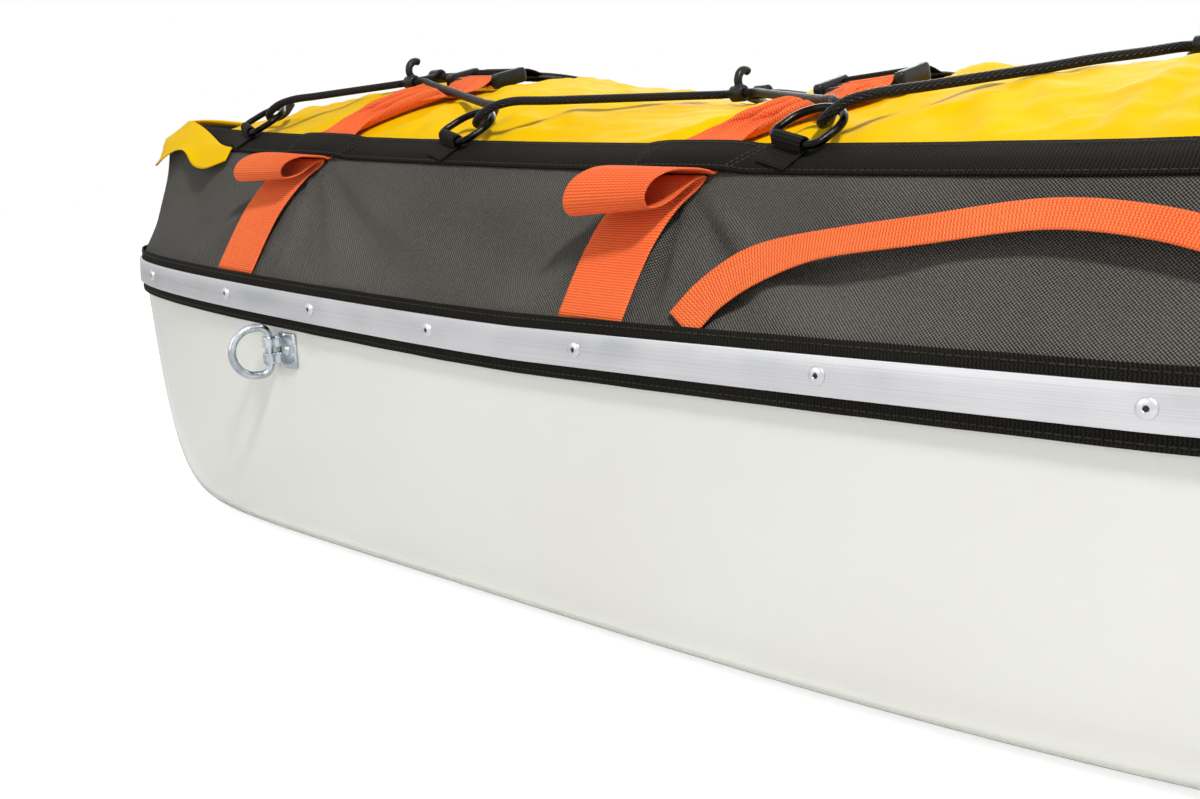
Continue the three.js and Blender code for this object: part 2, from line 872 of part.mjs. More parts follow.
// A buckle's frame: its near bar along X through the origin, the other bars further along Y.
function buckleFrame({ buckleX, outboard }) {
  const tilt = buckleTiltDeg * degrees;
  const half = buckleWidth / 2;
  const near = -outboard - buckleBarPitch * Math.cos(tilt);
  const slope = (crownZ(buckleX + half, -outboard) - crownZ(buckleX - half, -outboard)) / buckleWidth;
  const across = new THREE.Vector3(1, 0, slope).normalize();
  const along = new THREE.Vector3(0, Math.cos(tilt), Math.sin(tilt));
  along.addScaledVector(across, -along.dot(across)).normalize();
  const frame = new THREE.Matrix4().makeBasis(across, along, across.clone().cross(along));
  return frame.setPosition(onCrown(buckleX, near, buckleSeatLift + buckleBarRadius));
}

function barCentre(strap, place, lane) {
  return new THREE.Vector3(lane, place * buckleBarPitch, 0).applyMatrix4(buckleFrame(strap));
}

// A strap's turn round a bar, from above it round the given side of it to below it, and a point on.
function barLoop(strap, place, side, lane) {
  const middle = place * buckleBarPitch;
  const loop = Array.from({ length: loopSteps + 1 }, (_, i) => {
    const turn = THREE.MathUtils.lerp(loopFromDeg, loopToDeg, i / loopSteps) * degrees;
    return [middle + side * barLoopRadius * Math.cos(turn), barLoopRadius * Math.sin(turn)];
  });
  return loop.map(([y, z]) => new THREE.Vector3(lane, y, z).applyMatrix4(buckleFrame(strap)));
}

// A strap's own x at a distance down the panel, for the lane at a distance from its middle line.
function strapX({ baseX, webX }, down, lane) {
  return webX + (baseX - webX) * Math.min(down / panelDirections(baseX).length, 1) + lane;
}

function strapFoot({ baseX }) {
  const bandTop = bandHeight / 2 - rimEdgeAboveStrip;
  return panelDirections(baseX).length - bandTop + strapTuck;
}

function strapOnPanel(strap, down, lift, lane) {
  const x = strapX(strap, down, lane);
  return onStarboard(x, panelPlace(x, down, lift));
}

function strapUnderWebbing({ webX }, lane) {
  const x = webX + lane;
  return webbingCrossShares.map((share) => onStarboard(x, webbingPlace(x, share, strapLift)));
}

// The slack folded into a roll just below the webbing.
function slackRoll(strap, lane) {
  return slackRollShares.map(([dropShare, offShare]) => {
    const lift = strapLift + slackLoopStandOff * offShare;
    return strapOnPanel(strap, slackLoopDrop * dropShare, lift, lane);
  });
}

// From the webbing over the cover towards a buckle's bar.
function crownRun(strap, start, bar, lane, shares) {
  return shares.map((share) => {
    const y = THREE.MathUtils.lerp(start, bar.y, share);
    const turned = Math.min(share / strapStraightFrom, 1);
    const x = THREE.MathUtils.lerp(strap.webX, strap.buckleX, turned);
    return onCrown(x + lane, y, strapLift + strapOffCrown + buckleSeatLift * share ** 4);
  });
}

// How far from the middle plane a strap comes off the webbing on to the cover.
function crownStart({ webX }) {
  return coverHalfWidth(webX) - webbingIn;
}

function strapRightLane(strap, lane) {
  const foot = strapFoot(strap);
  const panel = strapPanelShares.map((share) => strapOnPanel(strap, foot * share, strapLift, lane));
  const hinge = barCentre(strap, 0, lane);
  const fold = new THREE.Vector3(lane, -2 * buckleBarRadius, -barLoopRadius);
  return [
    ...panel,
    ...slackRoll(strap, lane),
    ...strapUnderWebbing(strap, lane),
    ...crownRun(strap, -crownStart(strap), hinge, lane, rightCrownShares),
    ...barLoop(strap, 0, 1, lane),
    fold.applyMatrix4(buckleFrame(strap)),
  ];
}

function strapLeftLane(strap, lane) {
  const foot = strapFoot(strap);
  const panel = strapSideShares.map((share) => strapOnPanel(strap, foot * share, strapLift, lane));
  const side = [...panel, ...strapUnderWebbing(strap, lane)];
  for (const point of side) point.y *= -1;
  const bar = barCentre(strap, 2, lane);
  const run = crownRun(strap, crownStart(strap), bar, lane, leftCrownShares);
  const loop = barLoop(strap, 2, -1, lane).reverse();
  const top = 2 * buckleBarPitch;
  const tail = strapTailShares.map((share) => {
    const point = new THREE.Vector3(lane, top + strapTailLength * share, barLoopRadius);
    return point.applyMatrix4(buckleFrame(strap));
  });
  return [...side, ...run, ...loop, ...tail];
}

// A flat strap through its lanes, which run side by side, half its thickness to either side of them.
function strapGeometry(laneOf, strap) {
  const lanes = strapLanes.map((share) => laneOf(strap, strapWidth * share));
  const last = lanes[0].length - 1;
  const sections = lanes[0].map((_, i) => {
    const [before, after] = [Math.max(i - 1, 0), Math.min(i + 1, last)];
    const across = lanes[lanes.length - 1][i].clone().sub(lanes[0][i]);
    const face = lanes[1][after].clone().sub(lanes[1][before]).cross(across);
    face.normalize().multiplyScalar(strapThickness / 2);
    const under = lanes.map((lane) => lane[i].clone().sub(face));
    const over = lanes.map((lane) => lane[i].clone().add(face));
    return [...under, ...over.reverse()];
  });
  return loft(sections);
}

function buckleGeometry() {
  const [near, far] = [-buckleEnd, 2 * buckleBarPitch + buckleEnd];
  const [low, high] = [-buckleRailHeight / 2, buckleRailHeight / 2];
  const profile = new THREE.Shape();
  profile.moveTo(near + buckleRailRound, low);
  profile.absarc(far - buckleRailRound, low + buckleRailRound, buckleRailRound, -Math.PI / 2, 0);
  profile.absarc(far - buckleRailRound, high - buckleRailRound, buckleRailRound, 0, Math.PI / 2);
  profile.absarc(near + buckleRailRound, high - buckleRailRound, buckleRailRound, Math.PI / 2, Math.PI);
  profile.absarc(near + buckleRailRound, low + buckleRailRound, buckleRailRound, Math.PI, Math.PI * 1.5);
  const offset = (buckleWidth - buckleRail) / 2;
  const rail = blockAlongX(profile, buckleRail, 2);
  const bars = [0, 1, 2].map((place) => {
    const bar = new THREE.CylinderGeometry(buckleBarRadius, buckleBarRadius, 2 * offset, barSides);
    return bar.rotateZ(Math.PI / 2).translate(0, place * buckleBarPitch, 0);
  });
  return joined([rail.clone().translate(-offset, 0, 0), rail.translate(offset, 0, 0), ...bars]);
}

// Side grab handle

// The direction square off the skirt's panel at any x of the starboard side.
function panelNormal(x) {
  const { out } = starboardFrame(x);
  const { off } = panelDirections(x);
  return new THREE.Vector3(-out.x * off[0], -out.y * off[0], off[1]);
}

// A point of the handle at a share of its length, as high as its arch is at another share of it.
function handlePlace(alongShare, archShare) {
  const x = handleRearX + handleLength * alongShare;
  const bulge = Math.sin(Math.PI * archShare);
  const lift = strapLift + handleStandOff * bulge;
  const foot = strapFoot({ baseX: x }) - strapTuck - seatGap;
  return onStarboard(x, panelPlace(x, foot - handleRise * bulge ** handleArchPower, lift));
}

function handleGeometry() {
  const shareAt = (i) => (1 - Math.cos((Math.PI * i) / handleSteps)) / 2;
  // Both feet stand square on the rim: an end is straight below the point next to it.
  const centres = Array.from({ length: handleSteps + 1 }, (_, i) => {
    return handlePlace(shareAt(THREE.MathUtils.clamp(i, 1, handleSteps - 1)), shareAt(i));
  });
  const acrossOf = (i) => {
    const before = centres[Math.max(i - 1, 0)];
    const after = centres[Math.min(i + 1, handleSteps)];
    return after.clone().sub(before).cross(panelNormal(centres[i].x)).normalize();
  };
  // The webbing is folded double over the middle of the handle.
  const folded = (i) => {
    return THREE.MathUtils.smoothstep(Math.sin((Math.PI * i) / handleSteps), ...handleFoldShares);
  };
  const width = (i) => THREE.MathUtils.lerp(handleWidth, handleGripHeight, folded(i)) / 2;
  const thick = (i) => THREE.MathUtils.lerp(handleThickness, handleGripThickness, folded(i)) / 2;
  return ribbon(centres, acrossOf, width, thick);
}

// Lacing rings

// A D outline: its straight bar along X through the origin, its bow up along Y.
function ringOutline(width, depth, corner) {
  const half = width / 2;
  const arc = (x, y, radius, from, to, steps) => {
    return Array.from({ length: steps + 1 }, (_, i) => {
      const turn = from + ((to - from) * i) / steps;
      return new THREE.Vector2(x + radius * Math.cos(turn), y + radius * Math.sin(turn));
    });
  };
  return [
    ...arc(half - corner, corner, corner, -Math.PI / 2, 0, ringCornerSteps),
    ...arc(0, depth - half, half, 0, Math.PI, ringBowSteps),
    ...arc(corner - half, corner, corner, Math.PI, Math.PI * 1.5, ringCornerSteps),
  ];
}

function laceRingGeometry() {
  const [width, depth] = [laceRingWidth, laceRingDepth].map((size) => size - 2 * laceWireRadius);
  return bentWire(ringOutline(width, depth, laceRingCorner), laceWireRadius, laceWireSides);
}

// A lacing ring's tab: X along the ring's bar, Y up the webbing's slope, Z off it.
function tabFrame(x) {
  const seat = seatGap + webbingThickness + tabOffWebbing;
  const lift = seat + tabThickness + runningGap + laceWireRadius;
  const share = 1 + laceBarAboveWebbing / webbingWidth;
  const origin = onStarboard(x, webbingPlace(x, share, lift));
  const { out } = starboardFrame(x);
  const along = new THREE.Vector3(-out.y, out.x, 0);
  const slope = new THREE.Vector3(-out.x, -out.y, Math.tan(webbingSlope)).normalize();
  const frame = new THREE.Matrix4().makeBasis(along, slope, along.clone().cross(slope));
  frame.multiply(new THREE.Matrix4().makeRotationZ(-laceRingSlantDeg * degrees));
  return frame.setPosition(origin);
}

function laceRingFrame(x) {
  const tilt = laceRingTiltDeg * degrees - webbingSlope;
  return tabFrame(x).multiply(new THREE.Matrix4().makeRotationX(tilt));
}

// The tab: a loop round the ring's bar and a tongue that lies on the webbing.
function tabGeometry() {
  const inner = laceWireRadius + runningGap;
  const outer = inner + tabThickness;
  const shape = new THREE.Shape();
  shape.moveTo(-tabLength, -outer);
  shape.absarc(0, 0, outer, -Math.PI / 2, Math.PI);
  shape.lineTo(-outer, -inner);
  shape.lineTo(-tabLength, -inner);
  const eye = new THREE.Path();
  eye.absarc(0, 0, inner, 0, 2 * Math.PI, true);
  shape.holes.push(eye);
  return merged(blockAlongX(shape, tabWidth, 4));
}

// Shock cord, from ring to peak to ring along one side

function cordThroughRing(x) {
  const depth = laceRingDepth - 2 * laceWireRadius;
  const clear = laceWireRadius + cordRadius + runningGap;
  const frame = laceRingFrame(x);
  return cordThroughShares.map(([alongShare, slopeShare, offShare]) => {
    const point = new THREE.Vector3(depth * alongShare, depth * slopeShare, clear * offShare);
    return point.applyMatrix4(frame);
  });
}

// The frame of a peak's hook: X along the cords, Y from the starboard cord to the port one.
function peakFrame({ x, outboard }) {
  const lift = cordRadius + peakLift;
  const starboard = onCrown(x, -outboard, lift);
  const across = onCrown(x, peakSpread - outboard, lift).sub(starboard).normalize();
  const frame = new THREE.Matrix4().makeBasis(bowward, across, bowward.clone().cross(across));
  return frame.setPosition(starboard);
}

// The cord's straight run through a hook, from stern to bow.
function cordAtPeak(peak, side) {
  const frame = peakFrame(peak);
  const half = hookLength / 2 + seatGap;
  const y = side < 0 ? 0 : peakSpread;
  return [-half - peakStraight, -half, half, half + peakStraight].map((x) => {
    return new THREE.Vector3(x, y, 0).applyMatrix4(frame);
  });
}

// Whether a point on the cover is over one of the straps or close beside it.
function overStrap(point) {
  return straps.some((strap) => {
    const starboard = point.y < -strap.outboard;
    const bar = barCentre(strap, starboard ? 0 : 2, 0);
    const start = starboard ? -crownStart(strap) : crownStart(strap);
    const share = THREE.MathUtils.clamp((point.y - start) / (bar.y - start), 0, 1);
    const middle = THREE.MathUtils.lerp(strap.webX, strap.buckleX, share);
    return Math.abs(point.x - middle) < strapWidth / 2 + 3 * cordRadius;
  });
}

// Raises a cord point that would lie in the cover or in a strap that it crosses.
function clearOfCover(point) {
  const room = cordRadius + cordOffCover + (overStrap(point) ? cordOverStrap : 0);
  const lowest = onCrown(point.x, point.y, room).z;
  return new THREE.Vector3(point.x, point.y, Math.max(point.z, lowest));
}

function span(from, to) {
  return cordSpanShares.map((share) => clearOfCover(from.clone().lerp(to, share)));
}

function cordPath(side) {
  const points = [];
  laceRings.forEach(({ x }, i) => {
    const through = cordThroughRing(x);
    if (side > 0) for (const point of through) point.y *= -1;
    if (i > 0) points.push(...span(points[points.length - 1], through[0]));
    points.push(...through);
    if (i === peaks.length) return;
    const peak = cordAtPeak(peaks[i], side);
    points.push(...span(through[through.length - 1], peak[0]), ...peak);
  });
  return points;
}

function cordGeometry(side) {
  const points = cordPath(side);
  return tube(smoothed(points, points.length * cordStepsPerPoint), cordRadius, cordSides);
}

// A cord hook: a sleeve round the starboard cord, a tab that catches the port one, a standing arm.
function hookGeometry() {
  const reach = cordRadius + runningGap;
  const sleeve = new THREE.Shape();
  sleeve.absarc(0, 0, hookSleeveRadius, 0, 2 * Math.PI);
  const bore = new THREE.Path();
  bore.absarc(0, 0, reach, 0, 2 * Math.PI, true);
  sleeve.holes.push(bore);
  const root = (hookSleeveRadius + reach) / 2;
  const tab = new THREE.Shape();
  tab.moveTo(root, reach);
  tab.lineTo(root, reach - hookTabThickness);
  tab.lineTo(peakSpread - reach, reach - hookTabThickness);
  tab.absarc(peakSpread, 0, reach, Math.PI, 0, true);
  tab.absarc(peakSpread, 0, reach + hookTabThickness, 0, Math.PI / 2);
  const foot = reach + hookArmRadius / 2;
  const armPoints = hookArmShares.map(([curlShare, heightShare]) => {
    return new THREE.Vector3(0, hookCurl * curlShare, foot + hookArmHeight * heightShare);
  });
  const arm = tube(smoothed(armPoints, 2 * armPoints.length), hookArmRadius, cordSides);
  return joined([blockAlongX(sleeve, hookLength, 8), blockAlongX(tab, hookLength, 5), arm]);
}

// Towing rings, their clips and rivets

// The starboard y of the hull's outer face below the rim.
function hullFaceY(x, z) {
  const depthShare = (stripZ(x) - z) / (stripZ(x) - keelZ(x));
  const i = hullLevelShares.findIndex(([level]) => level > depthShare);
  const [above, below] = [hullLevelShares[i - 1], hullLevelShares[i]];
  const share = (depthShare - above[0]) / (below[0] - above[0]);
  const [, side, stern, bow] = above.map((value, k) => THREE.MathUtils.lerp(value, below[k], share));
  return -halfWidthAt(x, {
    sternX: rimPlan.sternX + hullSternInset * stern,
    bowX: rimPlan.bowX - hullBowInset * bow,
    halfWidth: rimPlan.halfWidth - hullSideInset * side,
  });
}

// A clip's frame: its origin on the ring's leg, X along the hull to the bow, Y into the hull.
function clipFrame(x) {
  const z = stripZ(x) - towDropBelowStrip;
  const onHull = (alongX, upZ) => new THREE.Vector3(alongX, hullFaceY(alongX, upZ), upZ);
  const along = onHull(x + clipLength, z).sub(onHull(x, z)).normalize();
  const rise = onHull(x, z + clipHeight / 2).sub(onHull(x, z - clipHeight / 2));
  const inward = rise.cross(along).normalize();
  const middle = onHull(x + clipLength / 2, z);
  const origin = middle.addScaledVector(along, -clipLength / 2).addScaledVector(inward, -towLegOff);
  const frame = new THREE.Matrix4().makeBasis(along, inward, along.clone().cross(inward));
  return frame.setPosition(origin);
}

function towRingGeometry() {
  const [width, depth] = [towRingHeight, towRingDepth].map((size) => size - 2 * towWireRadius);
  const wire = bentWire(ringOutline(width, depth, towRingCorner), towWireRadius, cordSides);
  // The straight leg turns to stand along Z, and the bow points off the hull, along -Y.
  return wire.applyMatrix4(new THREE.Matrix4().makeBasis(upward, port.clone().negate(), bowward));
}

function towRingFrame(x) {
  const turn = towSwingOutDeg * degrees - Math.PI / 2;
  return clipFrame(x).multiply(new THREE.Matrix4().makeRotationZ(turn));
}

// The clip: a plate on the hull with a hole for its rivet, and a knuckle round the ring's leg.
function clipGeometry() {
  const inner = towWireRadius + runningGap;
  const outer = inner + clipThickness;
  const plate = new THREE.Shape();
  plate.moveTo(0, -clipHeight / 2);
  plate.lineTo(clipLength, -clipHeight / 2);
  plate.lineTo(clipLength, clipHeight / 2);
  plate.lineTo(0, clipHeight / 2);
  const hole = new THREE.Path();
  hole.absarc(clipRivetAt, 0, clipRivetShank + seatGap, 0, 2 * Math.PI, true);
  plate.holes.push(hole);
  const plateSize = { depth: clipThickness, bevelEnabled: false, curveSegments: 4 };
  const flat = new THREE.ExtrudeGeometry(plate, plateSize);
  flat.rotateX(Math.PI / 2).translate(0, towLegOff - seatGap, 0);
  const knuckle = new THREE.Shape();
  knuckle.absarc(0, 0, outer, 0, 2 * Math.PI);
  const bore = new THREE.Path();
  bore.absarc(0, 0, inner, 0, 2 * Math.PI, true);
  knuckle.holes.push(bore);
  const knuckleSize = { depth: knuckleHeight, bevelEnabled: false, curveSegments: 8 };
  const curl = new THREE.ExtrudeGeometry(knuckle, knuckleSize);
  return joined([flat, curl.translate(0, 0, -knuckleHeight / 2)]);
}

function clipRivetGeometry() {
  const stem = clipThickness;
  const rivet = domeGeometry(clipRivetRadius, clipRivetDome, clipRivetShank, stem);
  const face = towLegOff - seatGap - clipThickness - runningGap / 4;
  return merged(rivet.rotateX(Math.PI)).translate(clipRivetAt, face, 0);
}

const group = new THREE.Group();

function addMesh(name, geometry, materialName, frame = new THREE.Matrix4()) {
  const mesh = new THREE.Mesh(geometry, material(materialName));
  mesh.name = name;
  mesh.applyMatrix4(frame);
  group.add(mesh);
}

// Adds a starboard piece and its mirror image to port.
function addPair(name, geometry, materialName, frame = new THREE.Matrix4()) {
  addMesh(`${name}_right`, geometry, materialName, frame);
  const flip = new THREE.Matrix4().makeScale(1, -1, 1);
  const portFrame = flip.clone().multiply(frame).multiply(flip);
  addMesh(`${name}_left`, mirrored(geometry), materialName, portFrame);
}

addMesh("hull", hullGeometry(), "hull");
addMesh("rim_band", bandGeometry(), "band");
addPair("rim_strip", stripGeometry(), "aluminium");
addMesh("side_skirt", skirtGeometry(), "skirt");
addMesh("top_webbing", webbingGeometry(), "webbing");
addMesh("top_cover", coverGeometry(), "cover");
addMesh("stern_flap", flapGeometry(), "cover");

for (const strap of straps) {
  addMesh(`strap_${strap.name}_right`, strapGeometry(strapRightLane, strap), "orange");
  addMesh(`strap_${strap.name}_left`, strapGeometry(strapLeftLane, strap), "webbing");
  addMesh(`buckle_${strap.name}`, buckleGeometry(), "plastic", buckleFrame(strap));
}

addPair("side_handle", handleGeometry(), "orange");

for (const ring of laceRings) {
  addPair(`ring_tab_${ring.name}`, tabGeometry(), "webbing", tabFrame(ring.x));
  addPair(`lace_ring_${ring.name}`, laceRingGeometry(), "steel", laceRingFrame(ring.x));
}

addMesh("bungee_right", cordGeometry(-1), "cord");
addMesh("bungee_left", cordGeometry(1), "cord");
for (const peak of peaks) addMesh(`cord_hook_${peak.name}`, hookGeometry(), "plastic", peakFrame(peak));

for (const { name, x } of towRings) {
  addPair(`tow_clip_${name}`, clipGeometry(), "zinc", clipFrame(x));
  addPair(`tow_rivet_${name}`, clipRivetGeometry(), "zinc", clipFrame(x));
  addPair(`tow_ring_${name}`, towRingGeometry(), "zinc", towRingFrame(x));
}

export default group;
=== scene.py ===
"""Looks of the pulk sled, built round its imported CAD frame.

Metres. +X points to the bow, +Y to port, +Z up; the origin is on the ground under the middle.
"""

import math

import bpy
import numpy as np
from mathutils import Matrix, Vector, kdtree, noise

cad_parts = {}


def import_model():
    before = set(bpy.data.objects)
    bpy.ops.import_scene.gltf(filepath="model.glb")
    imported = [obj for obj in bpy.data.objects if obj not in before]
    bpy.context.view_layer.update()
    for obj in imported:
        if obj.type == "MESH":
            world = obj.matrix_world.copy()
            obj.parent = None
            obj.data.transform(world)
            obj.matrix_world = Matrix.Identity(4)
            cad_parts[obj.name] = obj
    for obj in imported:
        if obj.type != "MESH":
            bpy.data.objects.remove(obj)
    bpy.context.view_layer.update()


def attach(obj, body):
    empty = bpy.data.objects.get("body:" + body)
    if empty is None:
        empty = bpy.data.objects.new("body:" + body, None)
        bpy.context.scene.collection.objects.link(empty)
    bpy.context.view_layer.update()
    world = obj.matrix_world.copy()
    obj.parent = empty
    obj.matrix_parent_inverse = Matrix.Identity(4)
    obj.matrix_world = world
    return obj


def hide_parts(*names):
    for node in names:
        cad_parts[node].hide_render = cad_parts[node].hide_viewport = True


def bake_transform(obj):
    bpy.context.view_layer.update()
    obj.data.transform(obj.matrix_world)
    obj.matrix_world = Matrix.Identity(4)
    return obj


# Gaps that keep touching pieces apart
SEAT_GAP = 0.0003
RUNNING_GAP = 0.0004

# Hull
HULL_LENGTH = 1.428
HULL_HALF_WIDTH = 0.26
HULL_WALL = 0.003
RIM_HEIGHT = 0.181
RIM_EDGE_ABOVE_STRIP = 0.012
STERN_RISE = 0.03
STERN_RISE_POWER = 1.33
BOW_RISE = 0.04
BOW_RISE_POWER = 1.7
HULL_SIDE_INSET = 0.036
HULL_STERN_INSET = 0.07
HULL_BOW_INSET = 0.2
RUNNER_HEIGHT = 0.004
RUNNER_WIDTH = 0.026
RUNNER_SPACING = 0.23
RUNNER_RAMP = 0.04
ROCKER_RISE = 0.026
STERN_POWER = 5
BOW_POWER = 3.6
BOW_ROUNDNESS = 2

# Share of the depth, then of the side, stern and bow insets, at each hull level from the rim down
HULL_LEVEL_SHARES = [
    (0, 0, 0, 0),
    (0.3, 0.1, 0.12, 0.2),
    (0.6, 0.21, 0.3, 0.42),
    (0.82, 0.37, 0.52, 0.62),
    (0.92, 0.53, 0.7, 0.78),
    (0.975, 0.75, 0.86, 0.9),
    (1, 1, 1, 1),
]
HULL_LEVEL_STEPS = 5

# Rim trim
BAND_HEIGHT = 0.036
BAND_THICKNESS = 0.0016
BAND_SLACK = 0.0003
STRIP_HEIGHT = 0.02
STRIP_THICKNESS = 0.002
STRIP_END_GAP = 0.0015
BAND_CORNER = BAND_THICKNESS / 2.2
BAND_WAVE = 0.045
STRIP_CORNER = STRIP_THICKNESS / 5
RIVET_RADIUS = 0.00475
RIVET_DOME = 0.0015
RIVET_HOLE = 0.0014

# Outlines of a rivet's head, of its hole and of the stem down in it: shares of the radius and of the dome
RIVET_HEAD_SHARES = [(1, -0.1), (1, 0.25), (0.96, 0.42), (0.82, 0.7), (0.6, 0.92), (0.42, 1)]
RIVET_HOLE_SHARES = [(1.12, 0.98), (1, 0.86), (1, 0.3)]
RIVET_CORE_SHARES = [(0.94, 0.35), (0.94, 0.558), (0.6, 0.62), (0.2, 0.62)]

# Rivets along the side, as shares of the hull's half length, and near the ends, as shares of the way round
RIVET_SHARES = [-0.826, -0.633, -0.473, -0.287, -0.102, 0.125, 0.339, 0.553, 0.749, 0.896]
END_RIVET_SHARES = [0.055, 0.965]

# Side skirt and the webbing along its top
SKIRT_THICKNESS = 0.002
SKIRT_LEAN = 0.05
SKIRT_HOLLOW = 0.003
STERN_LEAN_CUT = 0.032
BOW_EXTRA_LEAN = 0.046
BOW_LEAN_POWER = 1.5
WEBBING_HEIGHT = 0.274
WEBBING_STERN_RISE = 0.045
WEBBING_RISE_POWER = 1.7
WEBBING_BOW_DROP = 0.012
WEBBING_WIDTH = 0.025
WEBBING_THICKNESS = 0.0016
WEBBING_SLACK = 0.0004
WEBBING_SLOPE = math.radians(40)
WEBBING_SEAM_SHARE = 0.5
STERN_CORNER_REACH = 0.06
STERN_CORNER_ROOM = 0.0008
WEBBING_CORNER = WEBBING_THICKNESS / 2.2
WEBBING_WAVE = 0.033

# Folds and sags of the skirt
ANCHOR_FOLD_HEIGHT = 0.003
ANCHOR_FOLD_REACH = 0.085
ANCHOR_FOLD_FROM = 0.004
SKIRT_SAG = 0.004
SKIRT_SAG_SIZE = 0.12
STREAK_HEIGHT = 0.0034
STREAK_LENGTH = 0.22
STREAK_PITCH = 0.03
PUCKER_HEIGHT = 0.00045
PUCKER_PITCH = 0.023
PUCKER_FOOT_REACH = 0.012
PUCKER_TOP_REACH = 0.01

# Top cover and its stern flap
COVER_THICKNESS = 0.0012
COVER_CROWN = 0.06
COVER_DIP = 0.018
COVER_NARROW_BELOW = 0.19
COVER_SEAM_GAP = 0.001
COVER_END_GAP = 0.004
FLAP_DROP = 0.02
FLAP_THICKNESS = 0.0012
FLAP_STAND_OFF = 0.001
FLAP_CORNER_AT = 0.225
FLAP_WAVE_LENGTH = 0.125
FLAP_WANDER_SIZE = 0.05
FLAP_END_REACH = (-0.004, 0.03)
FLAP_BILLOW = 0.0012
FLAP_BILLOW_LENGTH = 0.021
FLAP_CURL = 0.004

# Slack in the cover before it settles
DRAPE_SHARE = 0.6
DRAPE_EDGE_REACH = 0.05
FREE_OF_STRAPS = (-0.002, 0.03)
PUFF_HEIGHT = 0.0045
PUFF_REACH = 0.05
BULGE_HEIGHT = 0.0035
BULGE_SIZE = 0.11
DRAPE_CREASE_HEIGHT = 0.0016
DRAPE_CREASE_LENGTH = 0.1
DRAPE_CREASE_PITCH = 0.025
RING_FAN_HEIGHT = 0.0016
RING_FAN_REACH = 0.05
HELD_AT_EDGE = 0.003

# Cloth simulation of the cover
CLOTH_SLACK = 0.05
CLOTH_FRAMES = 24
CLOTH_QUALITY = 6
CLOTH_MASS = 0.25
CLOTH_STIFFNESS = 12
CLOTH_SHEAR = 4
CLOTH_BENDING = 0.2
CLOTH_EASINGS = 1
CLOTH_DISTANCE = 0.0015
LOAD_BELOW_COVER = 0.0045

# What the settled cover keeps to: its seams, the straps' beds, and the underside of what lies on it
SEAM_REACH = (0.011, 0.034)
STRAP_BED = 0.0008
STRAP_BED_MARGIN = 0.007
CEILING_ROOM_SHARE = 1.15
CEILING_SLOPE = 0.6
CEILING_REACH = 0.024
FINE_REACH = 0.02
CRINKLE_HEIGHT = 0.0005
CRINKLE_SIZE = 0.013
CREASE_HEIGHT = 0.0017
CREASE_LENGTH = 0.13
CREASE_PITCH = 0.032

# Compression straps
STRAP_WIDTH = 0.05
STRAP_THICKNESS = 0.0016
STRAP_TAIL_LENGTH = 0.028
STRAP_TAIL_SAG = 0.009
STRAP_TUCK = 0.002
STRAP_OFF_CROWN = 0.0006
SLACK_LOOP_DROP = 0.029
SLACK_LOOP_STAND_OFF = 0.024
TUNNEL_HALF_LENGTH = 0.042
TACK_BESIDE_STRAP = 0.036
TACK_SLANT = 0.016
LOOP_STEPS = 6
LOOP_FROM = math.radians(135)
LOOP_TO = math.radians(-90)

# How much bigger than the CAD's each strap's slack roll is
SLACK_SIZES = {"rear": 1, "middle": 1.28, "front": 1.08}

# Distances down the panel from the webbing and off its face, as shares of the slack loop's sizes
SLACK_ROLL_SHARES = [
    (0.7, 0),
    (0.21, 0),
    (0.12, 0.09),
    (0.21, 0.19),
    (0.7, 0.3),
    (0.92, 0.5),
    (1, 0.7),
    (0.9, 0.92),
    (0.66, 1),
    (0.38, 0.85),
    (0.16, 0.48),
    (0.04, 0.18),
    (0.01, 0.03),
]
STRAP_PANEL_SHARES = [1, 0.66, 0.45]
STRAP_SIDE_SHARES = [1, 0.66, 0.33, 0]
WEBBING_CROSS_SHARES = [0.12, 0.55, 1]
RIGHT_CROWN_SHARES = [0.1, 0.32, 0.54, 0.74, 0.88]
LEFT_CROWN_SHARES = [0.04, 0.17, 0.3, 0.43, 0.56, 0.69, 0.82, 0.93]
STRAP_STRAIGHT_FROM = 0.8
SLACK_ROLL_TAPER = (1.14, 0.88)
STRAP_LEAN_POWER = 4
PLEAT_HEIGHT = 0.0055
PLEAT_SHIFT = 0.004
PLEAT_COUNT = 2.6
PLEAT_NARROWING = 0.22
BLACK_PLEATS = 0.25
STRAP_TAIL_SHARES = [0.4, 0.7, 1]

# Ladder-lock buckle
BUCKLE_WIDTH = 0.062
BUCKLE_LENGTH = 0.034
BUCKLE_RAIL = 0.0062
BUCKLE_RAIL_HEIGHT = 0.0115
BUCKLE_RAIL_CORNER = 0.0032
BUCKLE_LIP_RADIUS = 0.0013
BUCKLE_LIP_INSET = 0.0012
BUCKLE_LIP_HEIGHT = 0.0026
BUCKLE_BAR_RADIUS = 0.0024
BUCKLE_BAR_PITCH = 0.012
BUCKLE_TILT = math.radians(15.5)
BUCKLE_END = (BUCKLE_LENGTH - 2 * BUCKLE_BAR_PITCH) / 2
BUCKLE_SEAT_LIFT = 0.005
BAR_LOOP_RADIUS = BUCKLE_BAR_RADIUS + RUNNING_GAP + STRAP_THICKNESS / 2

# Share of a rail's width from its middle, then the size of its side there
BUCKLE_RAIL_SHARES = [(-0.5, 0.86), (-0.42, 0.96), (-0.3, 1), (0.3, 1), (0.42, 0.96), (0.5, 0.86)]

# Side grab handle
HANDLE_RISE = 0.066

